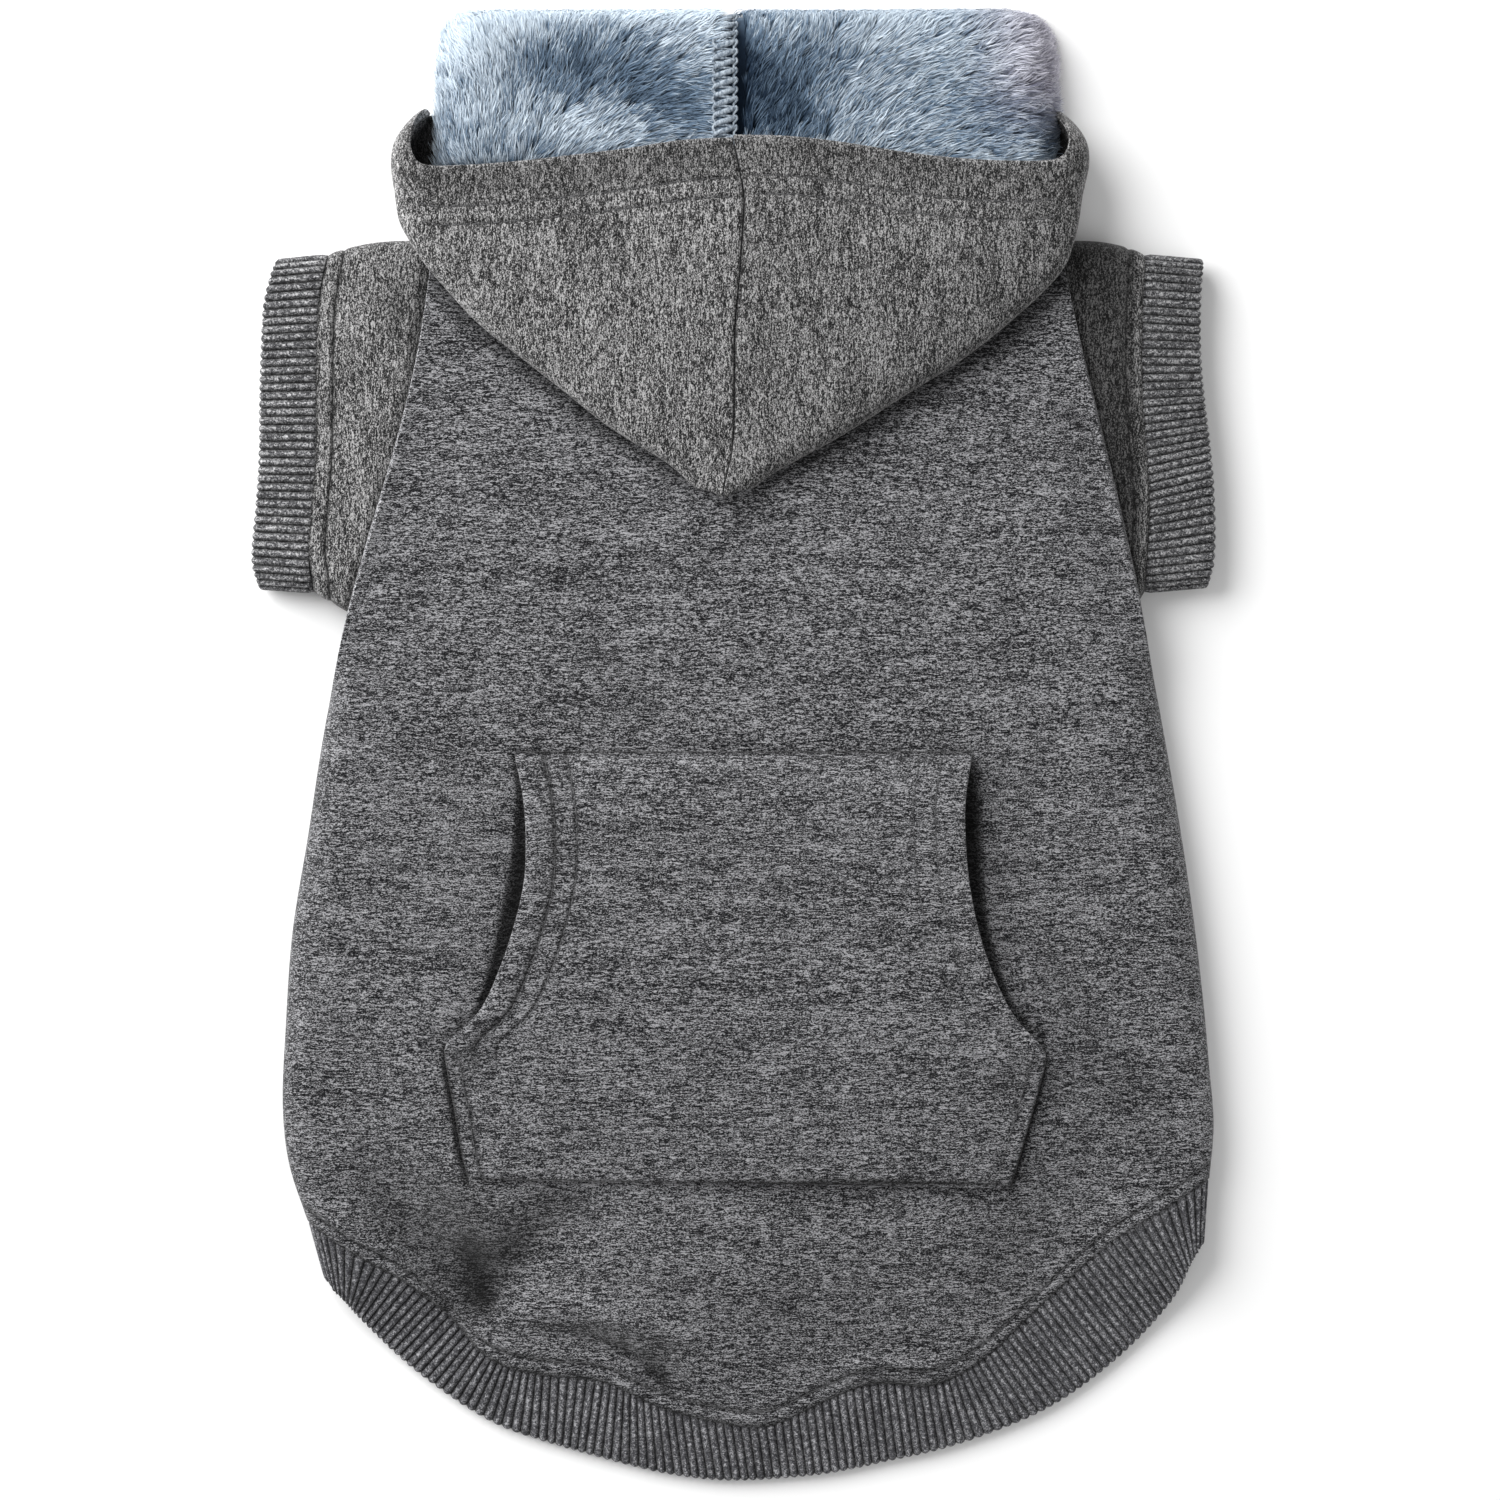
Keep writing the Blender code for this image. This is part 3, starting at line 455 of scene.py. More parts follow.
def chest_point(across, down):
    """The chest panel's outer face, flat on the floor and turned up to the side seams and armholes."""
    side = -1 if across < 0 else 1
    seamed = seamed_at(down)
    inset = (SLEEVE_TUCK + CHEST_INSET) * (1.0 - seamed)
    seam = body_share(down, "seam") * BODY_HEIGHT - GAP - FACET_ROOM
    edge = ARMHOLE_HEIGHT + (seam - ARMHOLE_HEIGHT) * seamed
    climb_height = edge - EDGE_LIP
    middle = body_middle(down)
    reach = side_x(down, side) - side * inset - middle
    out, climb, lip = rounded_edge(abs(across), 1.2 * climb_height / abs(reach), 1.0)
    hem_y = read(BELLY_HEM, "across", (side * out + 1.0) / 2, "seam_y") * HALF_LENGTH
    x = middle + reach * out
    y = NECK_Y + (hem_y - NECK_Y) * down
    return x, y, climb_height * climb + EDGE_LIP * lip


def ring_place(turn, head, tail, high, sunk=0.0):
    """A place on a flattened tube lying on the floor, sunk inwards by a depth. turn runs 0 to 1 from the
    head end over the top and back below."""
    radius = high / 2
    straight = head - tail - high
    bend = math.pi * radius
    along = (turn % 1.0) * (2 * straight + 2 * bend)
    if along < straight:
        puff = 0.03 * high * math.sin(math.pi * along / straight)
        return head - radius - along, high + puff - sunk
    along -= straight
    if along < bend:
        angle = along / radius
        reach = radius - sunk
        return tail + radius - reach * math.sin(angle), radius + reach * math.cos(angle)
    along -= bend
    if along < straight:
        return tail + radius + along, sunk
    angle = (along - straight) / radius
    reach = radius - sunk
    return head - radius + reach * math.sin(angle), radius - reach * math.cos(angle)


def root_x(y, side):
    """Where a sleeve starts under the body's edge."""
    end_y = read(BACK_HEM, "across", 0.0 if side < 0 else 1.0, "seam_y") * HALF_LENGTH
    down = (y - NECK_Y) / (end_y - NECK_Y)
    return side_x(min(1.0, max(0.0, down)), side) - side * SLEEVE_TUCK


def cuff_x(y, side, edge):
    """The cuff's seam (edge False) or outer edge (edge True) at a place across the sleeve."""
    head, tail, _ = ring_size(SLEEVE_RINGS, 1.0, SLEEVE_HEIGHT)
    across = min(1.0, max(0.0, (head - y) / (head - tail)))
    column = side_column(side, "_edge" if edge else "_seam")
    return read(CUFF_LINES, "across", across, column) * HALF_WIDTH


def band_place(ring, runs, run):
    """The seam and edge points at a run along the ring, between its lines."""
    run %= runs[-1]
    i = max(k for k in range(len(runs) - 1) if runs[k] <= run + 1e-9)
    t = (run - runs[i]) / (runs[i + 1] - runs[i])
    after = ring[(i + 1) % len(ring)]
    seam = [a + (b - a) * t for a, b in zip(ring[i][0], after[0])]
    edge = [a + (b - a) * t for a, b in zip(ring[i][1], after[1])]
    return seam, edge


BAND_EASE = (-1.0, -0.5, 0.0, 0.5, 1.0)


def band_smooth(ring, runs, run):
    """The seam and edge points at a run, eased round the corners of the ring's lines."""
    near = [band_place(ring, runs, run + RIB_PITCH * step) for step in BAND_EASE]
    seam = [sum(place[0][k] for place in near) / len(near) for k in range(3)]
    edge = [sum(place[1][k] for place in near) / len(near) for k in range(3)]
    return seam, edge


def hood_point(turn, y, side):
    """The hood's outer face. turn: 0 crown seam, 1 side fold, 2 floor seam; y in metres."""
    share = y / HALF_LENGTH
    seam = read(HOOD_OUTLINE, "y", share, "seam") * HALF_WIDTH + side * GAP / 2
    edge = edge_x(HOOD_OUTLINE, share, side)
    depth = HOOD_HOLLOW + 2 * HOOD_FLEECE
    seat = BODY_HEIGHT + GAP + FACET_ROOM
    top = seat + read(HOOD_HEIGHTS, "y", share, "top") * depth
    bottom = seat + read(HOOD_HEIGHTS, "y", share, "bottom") * depth
    reach = abs(edge - seam)
    bend = min(0.75 * (top - bottom), FOLD_REACH, 0.50 * reach)
    straight = reach - bend
    if turn <= 0.84:
        return seam + side * straight * turn / 0.84, y, top
    if turn >= 1.16:
        return seam + side * straight * (2.0 - turn) / 0.84, y, bottom
    angle = (turn - 0.84) / 0.32 * math.pi
    x = seam + side * (straight + bend * math.sin(angle))
    return x, y, (top + bottom) / 2 + (top - bottom) / 2 * math.cos(angle)


def lining_point(across, y_share, side):
    """The plush's outer face. across: 0 at the seam to 1 at the side."""
    seam = read(HOOD_OUTLINE, "y", min(y_share, 0.882), "seam") * HALF_WIDTH + side * GAP / 2
    edge = edge_x(LINING_ROWS, y_share, side)
    rise = read(LINING_ROWS, "y", y_share, "rise") * THROAT_HEIGHT
    low = read(LINING_ROWS, "y", y_share, "side") * THROAT_HEIGHT
    reach = abs(edge - seam)
    bend = LINING_ROUND / reach
    if across <= 0.7:
        out = across / 0.7 * (1.0 - bend)
        fall = 0.0
    else:
        turn = (across - 0.7) / 0.3 * math.pi / 2
        out = 1.0 - bend * (1.0 - math.sin(turn))
        fall = 1.0 - math.cos(turn)
    x = seam + side * reach * out
    z = rise + (min(low, rise) - rise) * fall
    depth = SEAM_VALLEY_RIGHT if side > 0 else SEAM_VALLEY_LEFT
    shown = smooth(0.70, 0.80, y_share) * smooth(1.00, 0.97, y_share)
    z -= depth * shown * math.exp(-((out * reach / SEAM_VALLEY_REACH) ** 2))
    return x, y_share * HALF_LENGTH, z


# The photograph's frame
PIXEL = 0.00026
MIDDLE_X_PX = 733.5
MIDDLE_Y_PX = 748.0
CENTRE_PX = 750.0
FRAME_PX = 1500.0
LENS_MM = 120.0
SENSOR_MM = 36.0
CAMERA_PLANE = 0.012

# Sewing details, and the strengths of painted shade and painted highlights
HEM_STITCH = 0.0046
CUFF_STITCH = 0.0047
RIM_STITCHES = (0.0108, 0.0156)
POCKET_HEM_STITCHES = (0.0078, 0.0135)
POCKET_HEM_RISE = 0.0007
POCKET_SIDE_STITCHES = (0.0012, 0.0040)
POCKET_TOP_STITCH = 0.0016
GROOVE_WIDTH = 0.0005
STITCH_REACH = 0.0010
HEM_LINE = 0.0007
SEAM_LINE = 0.0012
SEWN_LINE = 0.0007
GAP_DIP = 0.0026
GAP_LEAST = 0.0006
# Gaps at the pocket's openings, where the back gets painted shade. Top, widest place and bottom: shares of
# half length; width: metres.
GAP_LEFT = (-0.01, -0.20, -0.425, 0.0034)
GAP_RIGHT = (0.0, -0.09, -0.41, 0.0036)
GROOVE_DEPTH = 0.0005
SEAM_PINCH = 0.0007
HOOD_TIP = 0.34
HOOD_WIDEST = 0.72
HOOD_SHADOW = 0.70
HOOD_SHADOW_REACH = 0.0056
HOOD_HIGHLIGHT = 0.40
CROWN_SEAM_DARK = 1.0
EDGE_HIGHLIGHT = 0.9
# How far the painted shade attribute darkens a knit's colour
PAINTED_SHADE_DARKENING = 0.93
RIGHT_HOOD_SHADE = (0.15, 0.30)
RIGHT_SLEEVE_SHADE = 0.79
# A painted shade patch on the left sleeve near the body: px, py, reach_x, reach_y in photograph pixels, and
# how dark it is
LEFT_SLEEVE_SHADE_PATCH = (398, 305, 22, 42, 0.38)
RIGHT_CUFF_SHADE = 0.40
RIGHT_LEAN = 0.0036
RIGHT_LEAN_Y = 0.070
RIGHT_LEAN_REACH = 0.020
POCKET_TILT = 0.0015
POCKET_TOP = -0.003
POCKET_BOTTOM = -0.590
FOLD_FLOOR = 0.0036
INNER_END = 0.866
STITCH_PITCH = 0.0026
STITCH_LENGTH = 0.0019
STITCH_THICKNESS = 0.00034
RIB_DEPTH = 0.0011
BAND_TUCK = 0.0011
RIB_TOOTH = 0.0005
RIB_SAMPLES = 8
EDGE_ROLL = 0.0009
RIM_ROLL = 0.0016

# Lean of the hem band's ribs. across: share of the hem at the seam; lean: how much further the edge lies.
RIB_LEAN = [
    ("across", "lean"),
    (0.000, 0.000),
    (0.035, -0.012),
    (0.090, -0.040),
    (0.167, -0.050),
    (0.222, -0.036),
    (0.278, -0.010),
    (0.333, -0.014),
    (0.389, 0.000),
    (0.667, 0.000),
    (0.722, 0.024),
    (0.778, 0.032),
    (0.900, 0.032),
    (0.970, 0.018),
    (1.000, 0.000),
]
# Fine folds of the back. Ends and reach: photograph pixels; rise: metres; shade: how dark the middle is.
FINE_FOLDS = [
    ("x0", "y0", "x1", "y1", "reach", "rise", "shade"),
    (387, 1200, 425, 1245, 17, -0.0014, 0.25),
    (425, 1245, 468, 1308, 15, -0.0026, 0.46),
    (408, 1188, 440, 1236, 14, 0.0008, 0.0),
    (352, 1225, 392, 1258, 14, 0.0008, 0.0),
    (392, 1262, 436, 1306, 13, 0.0016, 0.0),
    (458, 1205, 474, 1262, 28, -0.0012, 0.48),
    (470, 1256, 480, 1304, 17, -0.0030, 0.86),
    (480, 1288, 484, 1306, 7, -0.0012, 0.60),
    (440, 1312, 470, 1349, 5, -0.0014, 0.85),
    (565, 1205, 515, 1250, 24, -0.0008, 0.32),
    (515, 1250, 486, 1292, 17, -0.0016, 0.44),
    (500, 1312, 560, 1318, 16, 0.0018, 0.0),
    (600, 1312, 680, 1338, 14, 0.0024, 0.0),
    (580, 1336, 622, 1352, 6, -0.0018, 0.50),
    (622, 1352, 652, 1376, 7, -0.0024, 0.62),
    (656, 1368, 665, 1390, 10, -0.0030, 0.80),
    (690, 1362, 712, 1392, 14, 0.0012, 0.0),
    (862, 1370, 930, 1374, 13, 0.0018, 0.0),
    (848, 1346, 925, 1348, 15, -0.0010, 0.16),
    (612, 660, 636, 684, 7, -0.0009, 0.22),
    (636, 684, 652, 722, 7, -0.0009, 0.22),
    (630, 652, 656, 682, 9, 0.0006, 0.0),
    (1050, 968, 1136, 1094, 24, -0.0012, 0.22),
    (1136, 1094, 1182, 1175, 24, -0.0006, 0.18),
    (1100, 950, 1172, 1050, 20, 0.0010, 0.0),
    (1075, 420, 1132, 660, 26, -0.0004, 0.14),
]
# Rows of the finer surfaces: metres from an edge, or shares of a length
BAND_LINES = [i / 40 for i in range(-40, 41)]
EDGE_STEPS = (-0.008, 0.0, 0.004, 0.008, 0.012, 0.016, 0.020, 0.024, 0.028, 0.034, 0.042, 0.052)
BAND_SHARES = (0.0, 0.015, 0.04, 0.10, 0.25, 0.40, 0.55, 0.70, 0.85, 0.92, 0.955, 0.98, 0.993, 1.0)
CUFF_SHARES = (0.0, 0.015, 0.04, 0.10, 0.25, 0.40, 0.55, 0.70, 0.85, 0.92, 0.96, 0.985, 1.0)
SLEEVE_NEAR = (0.0, 0.0006, 0.0013, 0.0022, 0.0032, 0.0039, 0.0043, 0.0047, 0.0051, 0.0055, 0.0062)
SLEEVE_FAR_ROWS = 7
BACK_SIDE_LINES = (0.735, 0.77, 0.80, 0.83, 0.86, 0.89, 0.92, 0.95, 0.975, 1.0)
CHEST_MORE_LINES = (-0.975, -0.91, -0.825, 0.825, 0.91, 0.975)
HEM_DOWNS = (0.958, 0.965, 0.971, 0.976)
RIM_NEAR = (0.0, 0.0004, 0.0009, 0.0016, 0.0026, 0.0042, 0.0065, 0.0085, 0.0132, 0.0180, 0.0205)
CROWN_TURNS = (0.004, 0.010, 0.018)
HOOD_FAR_ROWS = 24
HOOD_SHORT = 0.06
HOOD_SIDE = 0.09
POCKET_NEAR = (0.0, 0.0005, 0.0011, 0.0018, 0.0028, 0.0040, 0.0055, 0.0108)
POCKET_END_SHARES = (-0.003, -0.006, -0.009, -0.0115, -0.014, -0.017, -0.588, -0.590)
# Places along one stitch, with the thread's radius there
STITCH_STEPS = ((-0.5, 0.35), (-0.25, 0.5), (0.0, 0.5), (0.25, 0.5), (0.5, 0.35))

# Plush pile
LOCKS = 36000
LOCK_LENGTH = 0.0060
LOCK_WIDTH = 0.00042
LOCK_STEPS = (0.0, 0.34, 0.68, 1.0)
CLUMP_SPACING = 0.0030
CLUMP_PULL = 0.36
PILE_SEED = 11
PILE_START = 0.745
FRINGE_REACH = 0.0018
OVERLOCK_LIFT = 0.0038
OVERLOCK_X = -0.0022
OVERLOCK_END_LIFT = 0.0016
OVERLOCK_TOP = 0.990
OVERLOCK_CLEAR = (-0.0036, 0.0052)
OVERLOCK_HEAD = 0.998
OVERLOCK_ARCH = 0.0010
# The two strands of an overlock stitch: slope, offset, drop and radius in metres
OVERLOCK_STRANDS = ((0.0019, 0.0, 0.0, 0.00076), (-0.0005, -0.00115, 0.0003, 0.00036))
CHAIN_RADIUS = 0.00036
TONE_LEAST = -0.40
LOCK_FLOOR = 0.0004
# Lighter and darker patches of the pile. px, py, reach_x, reach_y: photograph pixels; amount: share of tone.
# The light patches along the top edge are a painted highlight; the dark ones beside the overlock seam are
# painted shade
PLUSH_PATCHES = [
    ("px", "py", "reach_x", "reach_y", "amount"),
    (590, 80, 75, 32, -0.58),
    (670, 112, 45, 30, -0.52),
    (520, 60, 45, 30, -0.10),
    (575, 135, 60, 18, 0.26),
    (480, 45, 55, 30, 0.75),
    (600, 20, 120, 16, 0.62),
    (690, 45, 30, 30, 0.24),
    (470, 110, 30, 35, 0.14),
    (450, 140, 20, 20, -0.26),
    (725, 80, 9, 90, -1.20),
    (744, 92, 12, 64, -1.20),
    (766, 98, 24, 34, -0.85),
    (778, 124, 32, 26, -0.75),
    (810, 75, 34, 36, -0.40),
    (860, 35, 90, 18, 0.20),
    (900, 90, 70, 30, -0.06),
    (980, 120, 60, 24, -0.34),
    (1010, 50, 30, 40, 0.20),
    (800, 140, 40, 14, -0.26),
    (1040, 140, 16, 20, -0.40),
]

# Colours: places on a ramp and their linear colours. Grain and streak: features per metre.
BODY_TONES = [(0.455, (0.003, 0.003, 0.004)), (0.503, (0.027, 0.027, 0.030)), (0.561, (0.385, 0.385, 0.40))]
HOOD_TONES = [(0.449, (0.005, 0.005, 0.005)), (0.502, (0.054, 0.053, 0.054)), (0.569, (0.475, 0.47, 0.47))]
CUFF_TONES = [(0.40, (0.018, 0.018, 0.020)), (0.50, (0.120, 0.120, 0.127)), (0.60, (0.69, 0.69, 0.70))]
RIB_TONES = [(0.38, (0.020, 0.020, 0.023)), (0.50, (0.080, 0.080, 0.088)), (0.61, (0.49, 0.49, 0.51))]
MAUVE_TONES = [(0.10, (0.040, 0.038, 0.052)), (0.50, (0.22, 0.21, 0.27)), (0.90, (0.70, 0.68, 0.76))]
HOOD_GRAIN = (3400.0, 2100.0, 2000.0)
HOOD_STREAK = (2200.0, 480.0, 900.0)
KNIT_BUMP = 0.00025
THREAD_BUMP = 0.0002
SKY_STRENGTH = 0.445


def at(px, py):
    """A place in the photograph as x and y in metres."""
    return (px - MIDDLE_X_PX) * PIXEL, (MIDDLE_Y_PX - py) * PIXEL


def patch_share(x, y, px, py, reach_x, reach_y):
    """How much of a soft round patch, given in photograph pixels, a place has."""
    middle_x, middle_y = at(px, py)
    away = ((x - middle_x) / (reach_x * PIXEL)) ** 2 + ((y - middle_y) / (reach_y * PIXEL)) ** 2
    return math.exp(-away)


def crease_at(distance, width=GROOVE_WIDTH):
    """A soft line's strength at a distance from its middle: how deep a groove dips, or how much painted
    shade or painted highlight a line gets.
    """
    return math.exp(-((distance / width) ** 2))


def groove(distance, width=GROOVE_WIDTH, depth=GROOVE_DEPTH):
    """The dip that a row of stitches pulls into the cloth, at a distance from the row."""
    return -depth * crease_at(distance, width)


def spread(*lists):
    """One rising list of the values of several, with near twins dropped."""
    values = sorted(value for one in lists for value in one)
    kept = [values[0]]
    for value in values[1:]:
        if value - kept[-1] > 1e-6:
            kept.append(value)
    return kept


def around(place, reach, count):
    """Steps on both sides of a place."""
    return [place + reach * i / count for i in range(-count, count + 1)]


def linked(name, data):
    """A new object of the scene with this data."""
    made = bpy.data.objects.new(name, data)
    bpy.context.scene.collection.objects.link(made)
    return made


def new_mesh(name, verts, faces):
    """A mesh of points and faces."""
    mesh = bpy.data.meshes.new(name)
    mesh.from_pydata([tuple(point) for point in verts], [], faces)
    return mesh


def paint(mesh, **values):
    """Give a mesh attributes with a value at each point."""
    for name, numbers in values.items():
        mesh.attributes.new(name, "FLOAT", "POINT").data.foreach_set("value", numbers)


def finished(made, cloth):
    """Apply a piece's modifiers, smooth it and give it its cloth and body."""
    graph = bpy.context.evaluated_depsgraph_get()
    mesh = bpy.data.meshes.new_from_object(made.evaluated_get(graph))
    made.modifiers.clear()
    made.data = mesh
    mesh.materials.clear()
    mesh.materials.append(cloth)
    mesh.polygons.foreach_set("use_smooth", [True] * len(mesh.polygons))
    mesh.update()
    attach(made, "root")
    return made


def shell(name, rows, thickness, cloth, ring=False, flip=False, levels=0, even=True):
    """A grid surface of rows of points with their painted shade, thickened below its face and smoothed.
    Negative painted shade is a painted highlight.
    """
    across = len(rows[0])
    loops = across if ring else across - 1
    faces = []
    for j in range(len(rows) - 1):
        for i in range(loops):
            k = (i + 1) % across
            corners = [j * across + i, j * across + k, (j + 1) * across + k, (j + 1) * across + i]
            faces.append(corners[::-1] if flip else corners)
    points = [point for row in rows for point in row]
    mesh = new_mesh(name, [point[:3] for point in points], faces)
    paint(mesh, crease=[point[3] if len(point) > 3 else 0.0 for point in points])
    made = linked(name, mesh)
    thicken = made.modifiers.new("Cloth", "SOLIDIFY")
    thicken.thickness = thickness
    thicken.offset = -1.0
    thicken.use_even_offset = even
    thicken.use_quality_normals = True
    if levels:
        round_off = made.modifiers.new("Round", "SUBSURF")
        round_off.levels = levels
        round_off.render_levels = levels
    return finished(made, cloth)


def fine_fold(x, y):
    """Height that the fine folds add at a place, in metres, and how much painted shade they give it."""
    px = x / PIXEL + MIDDLE_X_PX
    py = MIDDLE_Y_PX - y / PIXEL
    total = 0.0
    light = 1.0
    for x0, y0, x1, y1, reach, rise, shade in FINE_FOLDS[1:]:
        near = math.exp(-((segment(px, py, x0, y0, x1, y1) / reach) ** 2))
        total += rise * near
        light *= 1.0 - shade * near
    return total, 1.0 - light


def pocket_gap(x, y):
    """How much painted shade a place gets in the gap beside a pocket opening and along the pocket's sewn
    sides; the back dips there too.
    """
    share = y / HALF_LENGTH
    if not -0.60 < share < 0.0:
        return 0.0
    total = 0.0
    for side, (top, widest, bottom, width) in ((-1, GAP_LEFT), (1, GAP_RIGHT)):
        edge = edge_x(POCKET_ROWS, share, side)
        open_share = smooth(top, widest, share) * smooth(bottom, widest, share)
        reach = width * open_share + GAP_LEAST
        away = side * (x - edge)
        dark = open_share**0.2 * math.exp(-((max(away, 0.0) / reach) ** 5))
        total += dark * smooth(-0.006, -0.002, away)
        sewn = smooth(-0.39, -0.41, share) * smooth(-0.60, -0.59, share)
        total += 0.9 * crease_at(away, SEWN_LINE) * sewn
    return min(1.0, total)


def pocket_share(share, side, down):
    """The pocket's edge on a line of the back, as a share from the back's middle to its side."""
    for _ in range(3):
        x, y, _ = back_point(side * share, down)
        edge = edge_x(POCKET_ROWS, y / HALF_LENGTH, side)
        reach = abs(side_x(down, side) - body_middle(down))
        share += side * (edge - x) / reach * 0.9
    return min(0.64, max(0.36, share))


def hood_shadow(x, y):
    """How dark a place of the back is beside the hood's lower edge, which lies on it."""
    share = y / HALF_LENGTH
    if not HOOD_TIP < share < HOOD_WIDEST:
        return 0.0
    edge = edge_x(HOOD_OUTLINE, share, -1 if x < 0 else 1)
    reach = HOOD_SHADOW_REACH if x > 0 else 0.8 * HOOD_SHADOW_REACH
    return HOOD_SHADOW * crease_at(x - edge, reach) * smooth(HOOD_TIP, HOOD_TIP + 0.03, share)


def back_lines(down):
    """Places across the back for one row, gathered closely along both edges of the pocket."""
    lines = []
    for side in (-1, 1):
        edge = pocket_share(0.5, side, down)
        half = steps(24, 0.0, edge + 2 * EDGE_STEPS[0])
        half += [edge + step for step in EDGE_STEPS]
        half += steps(5, edge + EDGE_STEPS[-1], 0.70)[1:]
        half += BACK_SIDE_LINES
        lines += [-share for share in reversed(half)] if side < 0 else half[1:]
    return lines


def back_cloth(cloth):
    """The back, with the stitch row above the hem band, painted shade in its grooves, folds, pocket gaps and
    beside the hood, and a painted highlight along its left edge.
    """
    downs = spread(steps(64, 0.0, 0.80), steps(22, 0.80, 0.95), HEM_DOWNS, steps(12, 0.979, 1.0))
    rows = []
    for down in downs:
        row = []
        for across in back_lines(down):
            x, y, z = back_point(across, down)
            left = (NECK_Y - y) / max(down, 0.5) * (1.0 - down)
            inside = smooth(1.0, 0.90, abs(across))
            crease = 0.0
            if down > 0.9:
                z += groove(left - HEM_STITCH, HEM_LINE) * inside
                z += groove(left, SEAM_LINE, SEAM_PINCH) * inside
                # Painted shade in the hem's stitch groove and along its seam
                crease = crease_at(left - HEM_STITCH, HEM_LINE) * 0.75 + crease_at(left, SEAM_LINE)
                crease *= inside
            # Painted shade in the pocket's gaps and along its sewn sides, the hood's painted cast shadow,
            # and painted shade in the folds
            shade = pocket_gap(x, y)
            crease = max(crease, hood_shadow(x, y))
            fine, fold_shade = fine_fold(x, y)
            z = max(z + (fine if fine > 0 else 0.7 * fine) * inside, min(z, FOLD_FLOOR))
            # A painted highlight along the back's left edge
            highlight = EDGE_HIGHLIGHT if across < -0.99 else 0.0
            row.append((x, y, z - GAP_DIP * shade, max(crease, shade, fold_shade) - highlight))
        rows.append(row)
    return shell("back_cloth", rows, FLEECE, cloth, flip=True, levels=1)


def chest_cloth(cloth):
    """The belly's panel, on the same lines as its solid and a few between them."""
    lines = spread(CHEST_LINES, CHEST_MORE_LINES)
    rows = [[chest_point(across, down) for across in lines] for down in steps(18)]
    return shell("chest_cloth", rows, FLEECE, cloth, levels=1)


def side_at(y, side):
    """The body's edge at a y, where a sleeve goes under it."""
    hem_y = body_hem_y(side_x(1.0, side) / HALF_WIDTH) * HALF_LENGTH
    return side_x((NECK_Y - y) / (NECK_Y - hem_y), side)


def sleeve_cloth(name, side, cloth):
    """A sleeve with its stitch row beside the cuff; rows run at set distances from the cuff's seam."""
    near = SLEEVE_NEAR
    rows = []
    for index in range(len(near) + SLEEVE_FAR_ROWS):
        row = []
        for turn in steps(72)[:-1]:
            y, z = ring_place(turn, 0.69 * HALF_LENGTH, 0.19 * HALF_LENGTH, SLEEVE_HEIGHT)
            start = root_x(y, side)
            end = cuff_x(y, side, False) - side * (GAP + FACET_ROOM)
            length = abs(end - start)
            fit = min(1.0, 0.8 * length / near[-1])
            if index < len(near):
                back = near[index] * fit
            else:
                far = (index - len(near) + 1) / SLEEVE_FAR_ROWS
                back = near[-1] * fit + (length - near[-1] * fit) * far
            out = 1.0 - back / length
            sunk = -groove(back - CUFF_STITCH) - groove(back, SEAM_LINE, SEAM_PINCH)
            y, z = ring_place(turn, *ring_size(SLEEVE_RINGS, out, SLEEVE_HEIGHT), sunk)
            # Painted shade in the stitch groove and along the cuff seam, over the right sleeve, in a patch
            # on the left sleeve, and where the sleeve goes under the body's edge
            crease = max(crease_at(back - CUFF_STITCH), crease_at(back, 0.0008))
            if side > 0:
                side_shade = RIGHT_SLEEVE_SHADE * smooth(0.0, 0.004, back)
            else:
                *patch, dark = LEFT_SLEEVE_SHADE_PATCH
                side_shade = dark * patch_share(end + back, y, *patch)
            tuck_shade = 0.85 * smooth(0.0030, 0.0, abs(end - side * back - side_at(y, side)))
            row.append((end - side * back, y, z, max(crease, side_shade, tuck_shade)))
        rows.append(row)
    return shell(name, rows, FLEECE, cloth, ring=True, flip=side > 0, levels=1)


def rib_sink(phase):
    """How far a rib's surface lies below its ridge: round ridges with narrow grooves between them."""
    return RIB_DEPTH * (1.0 - abs(math.sin(math.pi * phase)) ** 0.6)


def rib_crease(phase):
    """How much painted shade a band gets in the grooves between its ribs."""
    return (1.0 - abs(math.sin(math.pi * phase)) ** 1.1) ** 0.75


def rib_tooth(phase, share):
    """How far a rib's ridge stands out at a band's free edge."""
    return RIB_TOOTH * abs(math.sin(math.pi * phase)) * smooth(0.80, 1.0, share)


def edge_sink(distance):
    """The roll of a band's folded free edge."""
    inside = min(1.0, max(0.0, 1.0 - distance / EDGE_ROLL))
    return EDGE_ROLL * (1.0 - math.sqrt(1.0 - inside * inside))


